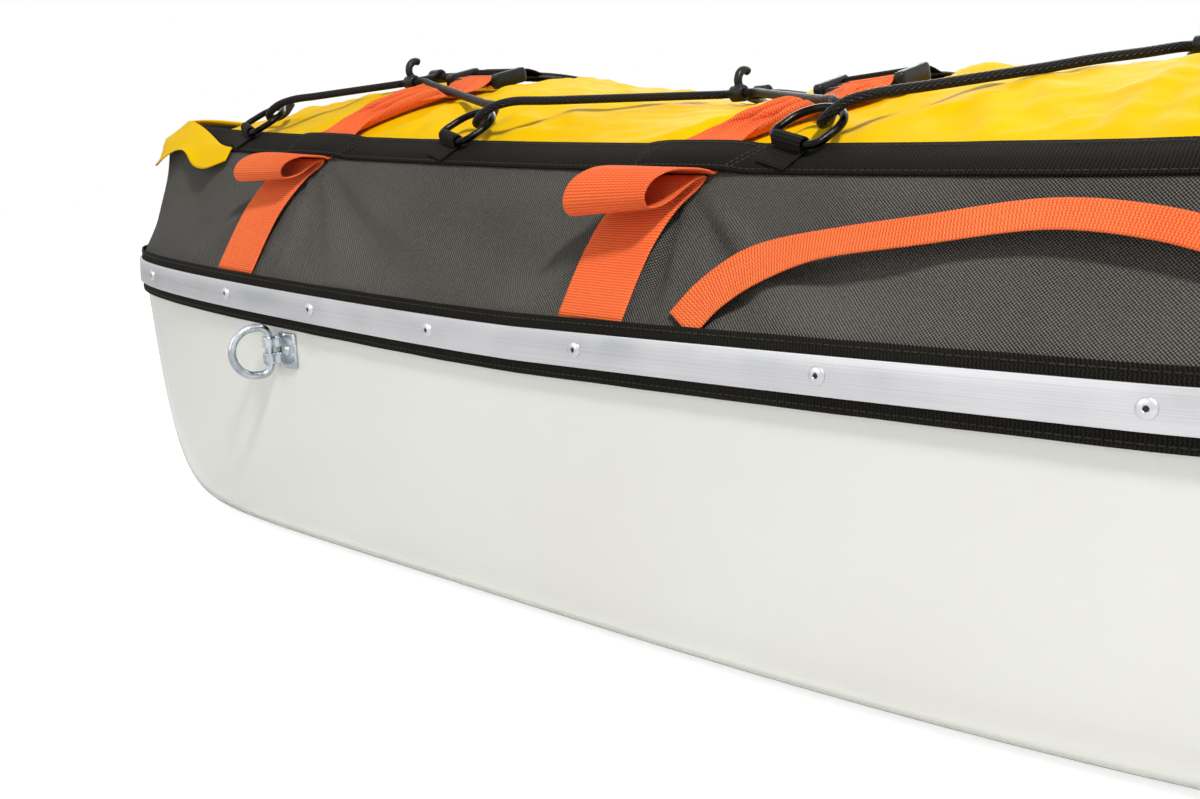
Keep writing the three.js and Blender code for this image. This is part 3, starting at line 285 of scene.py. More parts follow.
# Share of the handle's length, then of its rise
HANDLE_ARCH_SHARES = [
    (0, 0),
    (0.04, 0.3),
    (0.1, 0.52),
    (0.2, 0.69),
    (0.37, 0.82),
    (0.56, 0.96),
    (0.68, 0.91),
    (0.8, 0.74),
    (0.9, 0.52),
    (0.965, 0.28),
    (1, 0),
]
HANDLE_FOLD_LINE_SHARE = 0.1
HANDLE_FOLD_FROM_TO_SHARES = (0.05, 0.24)
HANDLE_WIDTH = 0.025
HANDLE_STAND_OFF = 0.009
HANDLE_BEND_FROM = 0.004
HANDLE_BEND_TO = 0.026
HANDLE_THICKNESS = 0.0016
HANDLE_FOLD_RADIUS = 0.0012
HANDLE_FOLD_TURN = math.radians(172)

# Lacing rings, their tabs and the shock cord
LACE_RING_WIDTH = 0.042
LACE_RING_DEPTH = 0.038
LACE_WIRE_RADIUS = 0.0024
LACE_RING_TILT = math.radians(35)
LACE_RING_SLANT = math.radians(20)
LACE_RING_CORNER = 0.0068
LACE_BAR_ABOVE_WEBBING = -0.004
TAB_WIDTH = 0.024
TAB_THICKNESS = 0.0015
TAB_OFF_WEBBING = 0.0005
TAB_LENGTH = 0.018
TAB_LOOP_LENGTH = 0.003
TAB_NIP_SHARES = [(-1.12, -0.25), (-1.3, -0.45)]
CORD_RADIUS = 0.003
CORD_THROUGH_SHARES = [
    (-0.42, 1.3, -0.75),
    (-0.19, 1, -1.06),
    (-0.04, 0.73, -0.72),
    (0.13, 0.6, 0.1),
    (0.28, 0.68, 0.85),
    (0.37, 0.93, 1.2),
    (0.6, 1.3, 1.05),
]
CORD_SPAN_SHARES = [0.18, 0.36, 0.54, 0.72, 0.88]
CORD_OFF_COVER = 0.001
CORD_OVER_STRAP = 0.0034

# Cord hooks at the peaks of the lacing
PEAK_SPREAD = 0.028
PEAK_LIFT = 0.0043
PEAK_STRAIGHT = 0.008
HOOK_SLEEVE_RADIUS = 0.0058
HOOK_LENGTH = 0.011
HOOK_ARM_RADIUS = 0.003
HOOK_ARM_HEIGHT = 0.0115
HOOK_CURL = 0.0085
HOOK_TAB_THICKNESS = 0.0034
HOOK_TAB_OVERLAP = 0.001
HOOK_TAB_CLEAR = 1.6
HOOK_CHAMFER = 0.0006
HOOK_ARM_SHARES = [(0, 0), (-0.12, 0.4), (0.08, 0.78), (0.5, 0.98), (0.95, 1), (1.3, 0.9)]
HOOK_ROOT_TAPERS = (1.35, 1.2, 1.08)
HOOK_TIP_TAPERS = (0.97, 0.8, 0.45)

# Towing rings and their riveted clips on the hull
TOW_RING_HEIGHT = 0.041
TOW_RING_DEPTH = 0.034
TOW_RING_CORNER = 0.0072
TOW_WIRE_RADIUS = 0.003
TOW_DROP_BELOW_STRIP = 0.035
TOW_SWING_OUT = math.radians(78)
CLIP_HEIGHT = 0.026
CLIP_LENGTH = 0.027
CLIP_THICKNESS = 0.0016
CLIP_RIVET_AT = 0.0145
CLIP_RIVET_RADIUS = 0.0042
CLIP_RIVET_DOME = 0.0019
CLIP_RIVET_SHARES = [(0.9, -4 / 19), (1, 0), (0.97, 0.3), (0.8, 0.68), (0.5, 0.93), (0.2, 1), (0.05, 1)]
CLIP_INSET = 0.002
CLIP_CORNER = 0.0025
CLIP_EDGE = 0.0004
CLIP_ROLL_FROM_TO = (-100, 190)
CLIP_TONGUE_SHARES = [(1.15, 0.62), (1.5, 0.95), (2.2, 1)]
KNUCKLE_HEIGHT = 0.02
KNUCKLE_SLOT = 0.004
TOW_LEG_OFF = 0.0068

# Stitching
STITCH_PITCH = 0.0042
STITCH_LENGTH = 0.0034
STITCH_RADIUS = 0.0004
STITCH_OFF = 0.0001
STITCH_FROM_EDGE = 0.003
STITCH_ROW_SHARES = (0.1, 0.9)
TACK_PITCH = 0.003
TACK_LENGTH = 0.0026
TACK_ROWS = (0, 0.004)
THREAD_SHARES = [(-0.5, 0.3), (-0.32, 0.9), (0.32, 0.9), (0.5, 0.3)]

# Patterns and relief of the materials
CANVAS_PITCH = 0.0019
CANVAS_RELIEF = 0.0006
BLACK_RIB = 0.0019
BLACK_COLUMN = 0.0013
ORANGE_RIB = 0.0017
ORANGE_COLUMN = 0.0014
WEBBING_RELIEF = 0.0005
COATED_PITCH = 0.0009
COATED_RELIEF = 0.0012
SCUFFED_BELOW = 0.03
SCUFFED_FULLY_BELOW = 0.004
GELCOAT_RELIEF = 0.001
BRUSHED_RELIEF = 0.0001
PLATED_RELIEF = 0.0003
MOULDED_RELIEF = 0.0002
BRAID_PITCH = 0.0045
BRAID_STRANDS = 8
BRAID_RELIEF = 0.0004
FABRIC_SHINE = 0.05

# Fineness of the meshes
RIM_COUNT = 420
SKIRT_ROWS = 26
COVER_STATIONS = 151
COVER_ACROSS = 61
COVER_REFINED = 2
SLOPE_STEP = 0.001
EDGE_LANE_SHARES = [0.5, 0.49, 0.46]
EDGE_TAPERS = [0.3, 0.75, 1]
STRAP_LANES = 23
STRAP_STEPS = 7
HANDLE_LANES = 27
HANDLE_STEPS = 120
TAB_LANES = 5
STIFF_LANES = 3
CORD_STEPS = 8
CORD_SIDES = 20
RING_SIDES = 18
TOW_RING_SIDES = 22
RIVET_SIDES = 28
CORE_SIDES = 16
BAR_SIDES = 20
LIP_SIDES = 12
HANDLE_ARCH_STEPS = 12
HOOK_ARM_STEPS = 8
SLEEVE_SIDES = 28
THREAD_SIDES = 6
RUNNER_STATIONS = 90
RUNNER_STEPS = 15

# Camera fitted to the photograph
CAMERA_PLACE = (0.4375, -0.771, 0.262)
CAMERA_PITCH = math.radians(81.36)
CAMERA_HEADING = math.radians(44)
CAMERA_LENS = 38.4
CAMERA_SENSOR = 36
CAMERA_CLIP = 0.01

# Studio: each lamp's place, width and watts
LAMPS = {
    "key": ((1.8, -1.1, 2.7), 0.45, 98),
    "fill": ((-1.2, -2.8, 1.4), 2.4, 16),
    "back": ((-1.4, 2.6, 1.7), 2.4, 46),
}
LAMP_AIM = (0, 0, 0.2)
FLOOR_REACH = 30
FLOOR_GLOW = 0.74
SKY_LEVEL = 0.32


def along_hull(share):
    """A place along the hull as a share of its half length: -1 is the stern and 1 the bow."""
    return share * HULL_LENGTH / 2


def inboard(distance):
    """A distance from the middle plane, from a distance inboard of the hull's widest line."""
    return HULL_HALF_WIDTH - distance


HULL_WIDEST_X = along_hull(-0.35)
STERN_RISE_FROM_X = along_hull(-0.168)
BOW_RISE_FROM_X = along_hull(0.336)
RUNNER_STERN_X = along_hull(-0.784)
RUNNER_BOW_X = along_hull(0.35)
ROCKER_FROM_X = along_hull(0.42)
STERN_LEAN_FROM_X = along_hull(-0.798)
BOW_LEAN_FROM_X = along_hull(0.462)
WEBBING_RISE_FROM_X = along_hull(0.3375)
STERN_CORNER_X = along_hull(-0.896)
COVER_DIP_X = along_hull(-0.154)
COVER_DIP_REACH = along_hull(0.322)
COVER_STERN_REACH = along_hull(0.364)
COVER_BOW_REACH = along_hull(0.238)
FLAP_FORWARD_X = along_hull(-0.745)
FLAP_SLIP_X = along_hull(-0.93)
HANDLE_REAR_X = 0
HANDLE_LENGTH = along_hull(0.4762)

# Where each strap leaves the rim, crosses the webbing and meets its buckle,
# and how far outboard the buckle is
STRAPS = {
    "rear": (along_hull(-0.6275), along_hull(-0.5714), along_hull(-0.5126), inboard(0.19)),
    "middle": (along_hull(-0.0938), along_hull(-0.0546), along_hull(0.0112), inboard(0.17)),
    "front": (along_hull(0.5392), along_hull(0.5784), along_hull(0.6106), inboard(0.19)),
}
LACE_RING_XS = {
    "a": along_hull(-0.7423),
    "b": along_hull(-0.3613),
    "c": along_hull(0.0364),
    "d": along_hull(0.4174),
}
PEAKS = {
    "rear": (along_hull(-0.6218), inboard(0.176)),
    "middle": (along_hull(-0.1961), inboard(0.23)),
    "front": (along_hull(0.2409), inboard(0.246)),
}
TOW_RING_XS = {"rear": along_hull(-0.5476), "front": along_hull(0.6022)}


# Vectors and frames


def unit(vectors):
    vectors = np.asarray(vectors, float)
    return vectors / np.maximum(np.linalg.norm(vectors, axis=-1, keepdims=True), 1e-12)


def smoothstep(value, low, high):
    share = np.clip((value - low) / (high - low), 0, 1)
    return share * share * (3 - 2 * share)


def lerp(a, b, share):
    return a + (b - a) * share


def basis(x_axis, y_axis, z_axis, origin):
    frame = np.identity(4)
    frame[:3, 0], frame[:3, 1], frame[:3, 2], frame[:3, 3] = x_axis, y_axis, z_axis, origin
    return frame


def applied(frame, points):
    return np.asarray(points, float) @ frame[:3, :3].T + frame[:3, 3]


def turned_about(axis, angle):
    return np.array(Matrix.Rotation(angle, 4, axis))


def mirrored(points):
    return np.asarray(points, float) * (1, -1, 1)


def scaled(shares, width, height):
    """An outline in real sizes from its shares of a width and a height."""
    return [(width * across, height * up) for across, up in shares]


def run_lengths(points, closed=False):
    """How far along a path each of its points is, from zero; a closed path ends where it starts."""
    path = np.vstack([points, points[:1]]) if closed else points
    steps = np.linalg.norm(np.diff(path, axis=0), axis=1)
    return np.concatenate([[0], np.cumsum(steps)])


def resampled(points, count):
    """A path's points, count steps of equal length."""
    run = run_lengths(points)
    wanted = np.linspace(0, run[-1], count + 1)
    return np.column_stack([np.interp(wanted, run, column) for column in np.asarray(points).T])


def smooth_path(points, steps):
    """A centripetal Catmull-Rom path through given points, with that many steps in each span."""
    path = np.asarray(points, float)
    path = np.vstack([2 * path[0] - path[1], path, 2 * path[-1] - path[-2]])
    gaps = np.sqrt(np.maximum(np.linalg.norm(np.diff(path, axis=0), axis=1), 1e-9))
    knots = np.concatenate([[0], np.cumsum(gaps)])
    spans = []
    for i in range(1, len(path) - 2):
        t = np.linspace(knots[i], knots[i + 1], steps, endpoint=False)[:, None]
        t0, t1, t2, t3 = knots[i - 1 : i + 3]
        a = lerp(path[i - 1], path[i], (t - t0) / (t1 - t0))
        b = lerp(path[i], path[i + 1], (t - t1) / (t2 - t1))
        c = lerp(path[i + 1], path[i + 2], (t - t2) / (t3 - t2))
        d = lerp(a, b, (t - t0) / (t2 - t0))
        e = lerp(b, c, (t - t1) / (t3 - t1))
        spans.append(lerp(d, e, (t - t1) / (t2 - t1)))
    return np.vstack([*spans, path[-2:-1]])


def noise_at(points, scale, seed):
    """Smooth noise from -1 to 1 at each point of a plan or of space; scale is the length of its waves."""
    spots = np.asarray(points, float) / scale + seed
    if spots.shape[-1] == 2:
        spots = np.concatenate([spots, np.zeros_like(spots[..., :1])], axis=-1)
    return np.array([noise.noise(Vector(spot)) for spot in spots.reshape(-1, 3)]).reshape(spots.shape[:-1])


# Shapes: points, four-cornered faces and pattern coordinates in metres


class Shape:
    def __init__(self, points, faces, uvs):
        self.points, self.faces, self.uvs = points, faces, uvs

    def moved(self, frame):
        return Shape(applied(frame, self.points), self.faces, self.uvs)

    def mirrored(self):
        return Shape(mirrored(self.points), self.faces[:, ::-1], self.uvs[:, ::-1])


def joined(shapes):
    starts = np.cumsum([0] + [len(shape.points) for shape in shapes])
    return Shape(
        np.vstack([shape.points for shape in shapes]),
        np.vstack([shape.faces + start for shape, start in zip(shapes, starts)]),
        np.concatenate([shape.uvs for shape in shapes]),
    )


def facing_out(points, faces, uvs):
    a, b, c, d = (points[faces[:, k]] for k in range(4))
    volume = np.einsum("ij,ij->i", a, np.cross(b, c)).sum() + np.einsum("ij,ij->i", a, np.cross(c, d)).sum()
    return (faces, uvs) if volume > 0 else (faces[:, ::-1], uvs[:, ::-1])


def loft(sections, closed=False):
    """A closed shape through sections of equally many points; open ends are closed across their middle."""
    sections = np.asarray(sections, float)
    count, size = sections.shape[:2]
    i = np.arange(count if closed else count - 1)[:, None]
    j = np.arange(size)[None, :]
    i_next, j_next = (i + 1) % count, (j + 1) % size
    corners = [i * size + j, i_next * size + j, i_next * size + j_next, i * size + j_next]
    faces = np.stack(corners, axis=-1).reshape(-1, 4)
    along = run_lengths(sections.mean(axis=1), closed)
    around = np.stack([run_lengths(section, True) for section in sections])
    near, far = (np.broadcast_to(along[k], (len(i), size)) for k in (i, i + 1))
    u = np.stack([near, far, far, near], axis=-1)
    v = np.stack([around[i, j], around[i_next, j], around[i_next, j + 1], around[i, j + 1]], axis=-1)
    uvs = np.stack([u, v], axis=-1).reshape(-1, 4, 2)
    if not closed:
        k = np.arange(size // 2 - 1)
        cap = np.stack([k, k + 1, size - 2 - k, size - 1 - k], axis=-1)
        faces = np.vstack([faces, cap, cap[:, ::-1] + (count - 1) * size])
        uvs = np.concatenate([uvs, np.zeros((2 * len(k), 4, 2))])
    points = sections.reshape(-1, 3)
    return Shape(points, *facing_out(points, faces, uvs))


def ribbon(lanes, thickness):
    """A flat band through lanes that run side by side, with rounded edges; lanes are its middle surface."""
    lanes = np.asarray(lanes, float)
    face = unit(np.cross(np.gradient(lanes, axis=1), np.gradient(lanes, axis=0)))
    tapers = np.ones(len(lanes))
    tapers[: len(EDGE_TAPERS)] = EDGE_TAPERS
    tapers[-len(EDGE_TAPERS) :] = EDGE_TAPERS[::-1]
    half = tapers[:, None, None] * thickness / 2
    under, over = lanes - face * half, lanes + face * half
    return loft(np.concatenate([under, over[::-1]]).transpose(1, 0, 2))


def lane_shares(inner_count):
    """Places across a band, from -0.5 to 0.5, closer together at its rounded edges."""
    inner = np.linspace(-EDGE_LANE_SHARES[-1], EDGE_LANE_SHARES[-1], inner_count + 2)[1:-1]
    edges = np.array(EDGE_LANE_SHARES)
    return np.concatenate([-edges, inner, edges[::-1]])


def rings_round(centres, radii, sides):
    """Circles square to a path of centres."""
    centres = np.asarray(centres, float)
    radii = np.broadcast_to(radii, len(centres))
    along = unit(np.gradient(centres, axis=0))
    side = np.array([0.0, 0.0, 1.0]) if abs(along[0][2]) < 0.9 else np.array([0.0, 1.0, 0.0])
    turn = np.linspace(0, 2 * math.pi, sides, endpoint=False)[:, None]
    sections = []
    for centre, way, radius in zip(centres, along, radii):
        side = unit(side - way * side.dot(way))
        up = np.cross(way, side)
        sections.append(centre + radius * (np.cos(turn) * side + np.sin(turn) * up))
    return sections


def tube(centres, radii, sides):
    return loft(rings_round(centres, radii, sides))


def wire(outline, radius, sides):
    """A round wire bent along a closed flat outline in its own XY plane."""
    outline = np.asarray(outline, float)
    along = unit(np.roll(outline, -1, axis=0) - np.roll(outline, 1, axis=0))
    turn = np.linspace(0, 2 * math.pi, sides, endpoint=False)
    out, up = radius * np.cos(turn), radius * np.sin(turn)
    sections = [
        np.column_stack([x + way_y * out, y - way_x * out, up])
        for (x, y), (way_x, way_y) in zip(outline, along)
    ]
    return loft(sections, closed=True)


def lathed(profile, sides):
    """A turned shape about Z through radius and height pairs, closed by flat ends."""
    turn = np.linspace(0, 2 * math.pi, sides, endpoint=False)
    return loft([
        np.column_stack([radius * np.cos(turn), radius * np.sin(turn), np.full(sides, height)])
        for radius, height in profile
    ])


def rounded_rectangle(width, height, radius, steps=4):
    """Points round a rectangle about the origin, starting and ending beside the same corner."""
    points = []
    corners = [(1, 1, 0), (-1, 1, 90), (-1, -1, 180), (1, -1, 270)]
    for x_side, y_side, start in corners:
        for turn in np.radians(np.linspace(start, start + 90, steps + 1)):
            x = x_side * (width / 2 - radius) + radius * math.cos(turn)
            y = y_side * (height / 2 - radius) + radius * math.sin(turn)
            points.append((x, y))
    return points


# Hull, rim and skirt lines


def rise_at(distance, reach, rise, power):
    return rise * (np.maximum(distance, 0) / reach) ** power


def strip_z(x):
    stern = rise_at(STERN_RISE_FROM_X - x, STERN_RISE_FROM_X + HULL_LENGTH / 2, STERN_RISE, STERN_RISE_POWER)
    bow = rise_at(x - BOW_RISE_FROM_X, HULL_LENGTH / 2 - BOW_RISE_FROM_X, BOW_RISE, BOW_RISE_POWER)
    return RIM_HEIGHT + stern + bow


def keel_z(x):
    flat_end = HULL_LENGTH / 2 - HULL_BOW_INSET
    return RUNNER_HEIGHT + rise_at(x - ROCKER_FROM_X, flat_end - ROCKER_FROM_X, ROCKER_RISE, 2)


RIM_PLAN = (-HULL_LENGTH / 2, HULL_LENGTH / 2, HULL_HALF_WIDTH)


def half_width(x, plan=RIM_PLAN):
    stern_x, bow_x, widest = plan
    x = np.asarray(x, float)
    stern = x < HULL_WIDEST_X
    reach = np.where(stern, HULL_WIDEST_X - stern_x, bow_x - HULL_WIDEST_X)
    away = np.minimum(np.abs(x - HULL_WIDEST_X) / reach, 1)
    along = np.where(stern, STERN_POWER, BOW_POWER)
    across = np.where(stern, STERN_POWER, BOW_ROUNDNESS)
    return widest * (1 - away**along) ** (1 / across)


def outline(plan, count):
    """Evenly spaced points round a plan outline, from the stern's middle along starboard and back."""
    stern_x, bow_x, widest = plan
    turn = np.linspace(0, math.pi, 8 * count + 1)
    stern = turn < math.pi / 2
    along = np.where(stern, STERN_POWER, BOW_POWER)
    across = np.where(stern, STERN_POWER, BOW_ROUNDNESS)
    reach = np.where(stern, stern_x - HULL_WIDEST_X, bow_x - HULL_WIDEST_X)
    x = HULL_WIDEST_X + reach * np.abs(np.cos(turn)) ** (2 / along)
    y = -widest * np.abs(np.sin(turn)) ** (2 / across)
    starboard = resampled(np.column_stack([x, y]), count)
    return np.vstack([starboard, starboard[1:-1][::-1] * (1, -1)])


RIM = outline(RIM_PLAN, RIM_COUNT)
RIM_WAY = unit(np.roll(RIM, -1, axis=0) - np.roll(RIM, 1, axis=0))
RIM_OUT = np.column_stack([RIM_WAY[:, 1], -RIM_WAY[:, 0]])
RIM_X = RIM[:, 0]
STARBOARD = slice(0, RIM_COUNT + 1)


def placed(plan_points, out, inset, z):
    inset = np.asarray(inset, float)
    z = np.broadcast_to(z, inset.shape)
    return np.concatenate([plan_points - out * inset[..., None], z[..., None]], axis=-1)


def starboard_frame(x):
    x = np.asarray(x, float)
    slope = (half_width(x + SLOPE_STEP) - half_width(x - SLOPE_STEP)) / (2 * SLOPE_STEP)
    out = unit(np.stack([-slope, -np.ones_like(slope)], axis=-1))
    return np.stack([x, -half_width(x)], axis=-1), out


def on_starboard(x, inset, z):
    x, inset, z = np.broadcast_arrays(x, inset, z)
    return placed(*starboard_frame(x), inset, z)


WEBBING_IN = WEBBING_WIDTH * math.cos(WEBBING_SLOPE)
WEBBING_UP = WEBBING_WIDTH * math.sin(WEBBING_SLOPE)
SEAM_IN = WEBBING_IN * WEBBING_SEAM_SHARE
SEAM_UP = WEBBING_UP * WEBBING_SEAM_SHARE


def webbing_z(x):
    reach = WEBBING_RISE_FROM_X + HULL_LENGTH / 2
    stern = rise_at(WEBBING_RISE_FROM_X - x, reach, WEBBING_STERN_RISE, WEBBING_RISE_POWER)
    bow = rise_at(x - WEBBING_RISE_FROM_X, HULL_LENGTH / 2 - WEBBING_RISE_FROM_X, WEBBING_BOW_DROP, 2)
    return WEBBING_HEIGHT + stern - bow


def lean_at(x):
    bow = rise_at(x - BOW_LEAN_FROM_X, HULL_LENGTH / 2 - BOW_LEAN_FROM_X, BOW_EXTRA_LEAN, BOW_LEAN_POWER)
    stern = smoothstep(-x, -STERN_LEAN_FROM_X, HULL_LENGTH / 2)
    return SKIRT_LEAN + bow - STERN_LEAN_CUT * stern


def skirt_foot_z(x):
    return strip_z(x) + RIM_EDGE_ABOVE_STRIP + SEAT_GAP


def tunnel_lift(x):
    """How far the webbing stands off its seat: over the straps and at the stern corners."""
    strap_room = STRAP_THICKNESS + 3 * SEAT_GAP
    tunnels = [(STERN_CORNER_X, STERN_CORNER_REACH, STERN_CORNER_ROOM)]
    tunnels += [(web_x, TUNNEL_HALF_LENGTH, strap_room) for _, web_x, _, _ in STRAPS.values()]
    lifts = [room * (1 - np.minimum(np.abs(x - at) / reach, 1) ** 4) for at, reach, room in tunnels]
    return np.max(lifts, axis=0)


def webbing_place(x, width_share, lift):
    inset = lean_at(x) + WEBBING_IN * width_share - lift * math.sin(WEBBING_SLOPE)
    z = webbing_z(x) + WEBBING_UP * width_share + lift * math.cos(WEBBING_SLOPE)
    return inset, z


def panel_directions(x):
    """Unit direction up the skirt panel, and its length."""
    rise = webbing_z(x) - skirt_foot_z(x)
    length = np.hypot(lean_at(x), rise)
    return lean_at(x) / length, rise / length, length


def panel_place(x, down, lift):
    up_in, up_z, _ = panel_directions(x)
    return lean_at(x) - up_in * down - up_z * lift, webbing_z(x) - up_z * down + up_in * lift


COVER_EDGE = placed(
    RIM[STARBOARD],
    RIM_OUT[STARBOARD],
    lean_at(RIM_X[STARBOARD]) + SEAM_IN + COVER_SEAM_GAP,
    webbing_z(RIM_X[STARBOARD]) + SEAM_UP,
)
COVER_EDGE_XS = np.maximum.accumulate(COVER_EDGE[:, 0])
COVER_FIRST_X = COVER_EDGE_XS[0] + COVER_END_GAP
COVER_LAST_X = COVER_EDGE_XS[-1] - COVER_END_GAP


def cover_half_width(x):
    return np.interp(x, COVER_EDGE_XS, -COVER_EDGE[:, 1])


def crown_z(x, y):
    half = np.maximum(cover_half_width(x), SLOPE_STEP)
    across = np.minimum(np.abs(y) / half, 1)
    dip = COVER_DIP * (1 + np.cos(math.pi * np.minimum(np.abs(x - COVER_DIP_X) / COVER_DIP_REACH, 1))) / 2
    from_stern = np.clip((x - COVER_EDGE_XS[0]) / COVER_STERN_REACH, 0, 1)
    from_bow = np.clip((COVER_EDGE_XS[-1] - x) / COVER_BOW_REACH, 0, 1)
    ends = (1 - (1 - from_stern) ** 2) * (1 - (1 - from_bow) ** 2)
    rise = (COVER_CROWN - dip) * ends * np.minimum(half / COVER_NARROW_BELOW, 1)
    return np.interp(x, COVER_EDGE_XS, COVER_EDGE[:, 2]) + rise * (1 - across * across)


def on_crown(x, y, lift):
    x, y, lift = np.broadcast_arrays(x, y, lift)
    slope = (crown_z(x, y + SLOPE_STEP) - crown_z(x, y - SLOPE_STEP)) / (2 * SLOPE_STEP)
    off = unit(np.stack([np.zeros_like(slope), -slope, np.ones_like(slope)], axis=-1))
    return np.stack([x, y, crown_z(x, y)], axis=-1) + off * np.asarray(lift)[..., None]


# Materials


def colour(red, green, blue):
    """A colour for a shader from its values on screen, 0 to 255."""
    shares = [value / 255 for value in (red, green, blue)]
    return tuple(s / 12.92 if s <= 0.04045 else ((s + 0.055) / 1.055) ** 2.4 for s in shares) + (1,)


class Nodes:
    """A new material's nodes; an input given as a socket is linked, and any other is set."""

    def __init__(self, name):
        self.material = bpy.data.materials.new(name)
        self.material.use_nodes = True
        self.tree = self.material.node_tree
        self.shader = self.tree.nodes["Principled BSDF"]

    def add(self, kind, inputs=None, **settings):
        node = self.tree.nodes.new(kind)
        for key, value in settings.items():
            setattr(node, key, value)
        for key, value in (inputs or {}).items():
            self.put(node, key, value)
        return node

    def put(self, node, key, value):
        if isinstance(value, bpy.types.NodeSocket):
            self.tree.links.new(value, node.inputs[key])
        else:
            node.inputs[key].default_value = value

    def set(self, **inputs):
        for key, value in inputs.items():
            self.put(self.shader, key.replace("_", " "), value)

    def math(self, operation, *values):
        return self.add("ShaderNodeMath", dict(enumerate(values)), operation=operation).outputs[0]

    def wave(self, value, pitch, shift=0):
        """A wave from -1 to 1 along a length."""
        turns = self.math("MULTIPLY_ADD", value, 2 * math.pi / pitch, shift)
        return self.math("SINE", turns)

    def noise(self, vector, scale, detail=2, roughness=0.5):
        inputs = {"Vector": vector, "Scale": scale, "Detail": detail, "Roughness": roughness}
        return self.add("ShaderNodeTexNoise", inputs).outputs["Fac"]

    def ramp(self, value, low, high, to_low=0.0, to_high=1.0):
        inputs = {"Value": value, "From Min": low, "From Max": high, "To Min": to_low, "To Max": to_high}
        return self.add("ShaderNodeMapRange", inputs).outputs["Result"]

    def blend(self, factor, first, second):
        node = self.add("ShaderNodeMix", data_type="RGBA")
        self.put(node, 0, factor)
        self.put(node, 6, first)
        self.put(node, 7, second)
        return node.outputs[2]

    def bump(self, height, distance, strength=1.0, normal=None):
        node = self.add("ShaderNodeBump", {"Height": height, "Distance": distance, "Strength": strength})
        if normal is not None:
            self.put(node, "Normal", normal)
        return node.outputs["Normal"]

    def object_place(self):
        return self.add("ShaderNodeTexCoord").outputs["Object"]

    def weave_place(self):
        """Lengths along and around a piece, from its own pattern coordinates."""
        place = self.add("ShaderNodeUVMap", uv_map="weave").outputs["UV"]
        parts = self.add("ShaderNodeSeparateXYZ", {0: place}).outputs
        return parts["X"], parts["Y"]


def woven(name, light, dark, pitch, depth, roughness):
    """Plain-weave cloth: crossing threads, slubs, and a slight change of colour over its surface; the
    threads' colour is painted shade between them and painted highlight on their tops.
    """
    nodes = Nodes(name)
    u, v = nodes.weave_place()
    threads = nodes.math("MULTIPLY", nodes.wave(u, pitch), nodes.wave(v, pitch))
    place = nodes.object_place()
    slubs = nodes.noise(place, 700, 2, 0.7)
    patches = nodes.noise(place, 5, 2)
    height = nodes.math("MULTIPLY_ADD", slubs, 0.35, threads)
    # Colour from the threads is painted shade between them and painted highlight on them; slubs and patches
    # are the cloth's own tone.
    tone_and_painted_thread_shade = nodes.math("MULTIPLY_ADD", nodes.ramp(slubs, 0.3, 0.7, -0.2, 0.2), 1, threads)
    tone_and_painted_thread_shade = nodes.math("MULTIPLY_ADD", nodes.ramp(patches, 0.3, 0.7, -0.25, 0.25), 1, tone_and_painted_thread_shade)
    nodes.set(
        Base_Color=nodes.blend(nodes.ramp(tone_and_painted_thread_shade, -0.9, 1.1), dark, light),
        Roughness=roughness,
        Specular_IOR_Level=FABRIC_SHINE,
        Normal=nodes.bump(height, depth),
    )
    return nodes.material


def webbing(name, light, dark, rib_pitch, column_pitch, roughness):
    """Woven tape: ribs across it that step by half a rib from one column to the next; the ribs and rounded
    columns in its colour are painted shade in the grooves and painted highlight on the ribs.
    """
    nodes = Nodes(name)
    u, v = nodes.weave_place()
    columns = nodes.wave(v, 2 * column_pitch)
    side = nodes.math("SIGN", columns)
    turns = nodes.math("MULTIPLY_ADD", side, math.pi / 5, nodes.math("MULTIPLY", u, 2 * math.pi / rib_pitch))
    ribs = nodes.ramp(nodes.math("SINE", turns), -1, 1)
    rounded = nodes.math("POWER", nodes.math("ABSOLUTE", columns), 0.5)
    threads = nodes.math("MULTIPLY_ADD", ribs, 0.75, nodes.math("MULTIPLY", rounded, 0.25))
    place = nodes.object_place()
    fuzz = nodes.noise(place, 500, 3, 0.7)
    patches = nodes.noise(place, 9, 2)
    height = nodes.math("MULTIPLY_ADD", fuzz, 0.3, threads)
    # Colour from the ribs and columns is painted shade and highlight; the fuzz and patches are the tape's own
    # tone.
    tone_and_painted_thread_shade = nodes.math("MULTIPLY_ADD", fuzz, 0.35, threads)
    tone_and_painted_thread_shade = nodes.math("ADD", tone_and_painted_thread_shade, nodes.ramp(patches, 0.3, 0.7, -0.15, 0.15))
    nodes.set(
        Base_Color=nodes.blend(nodes.ramp(tone_and_painted_thread_shade, 0.1, 1.05), dark, light),
        Roughness=roughness,
        Specular_IOR_Level=FABRIC_SHINE,
        Normal=nodes.bump(height, WEBBING_RELIEF),
    )
    return nodes.material


def coated_cloth(name, light, dark):
    """Thin coated cloth: a fine weave under the coating, soft creases and a slight gloss."""
    nodes = Nodes(name)
    u, v = nodes.weave_place()
    place = nodes.object_place()
    threads = nodes.math("MULTIPLY", nodes.wave(u, COATED_PITCH), nodes.wave(v, COATED_PITCH))
    creases = nodes.noise(place, 60, 4, 0.6)
    patches = nodes.noise(place, 7, 3)
    height = nodes.math("MULTIPLY_ADD", threads, 0.06, creases)
    nodes.set(
        Base_Color=nodes.blend(nodes.ramp(patches, 0.3, 0.75), dark, light),
        Roughness=nodes.ramp(creases, 0.3, 0.7, 0.45, 0.6),
        Specular_IOR_Level=FABRIC_SHINE,
        Normal=nodes.bump(height, COATED_RELIEF, 0.6),
    )
    return nodes.material


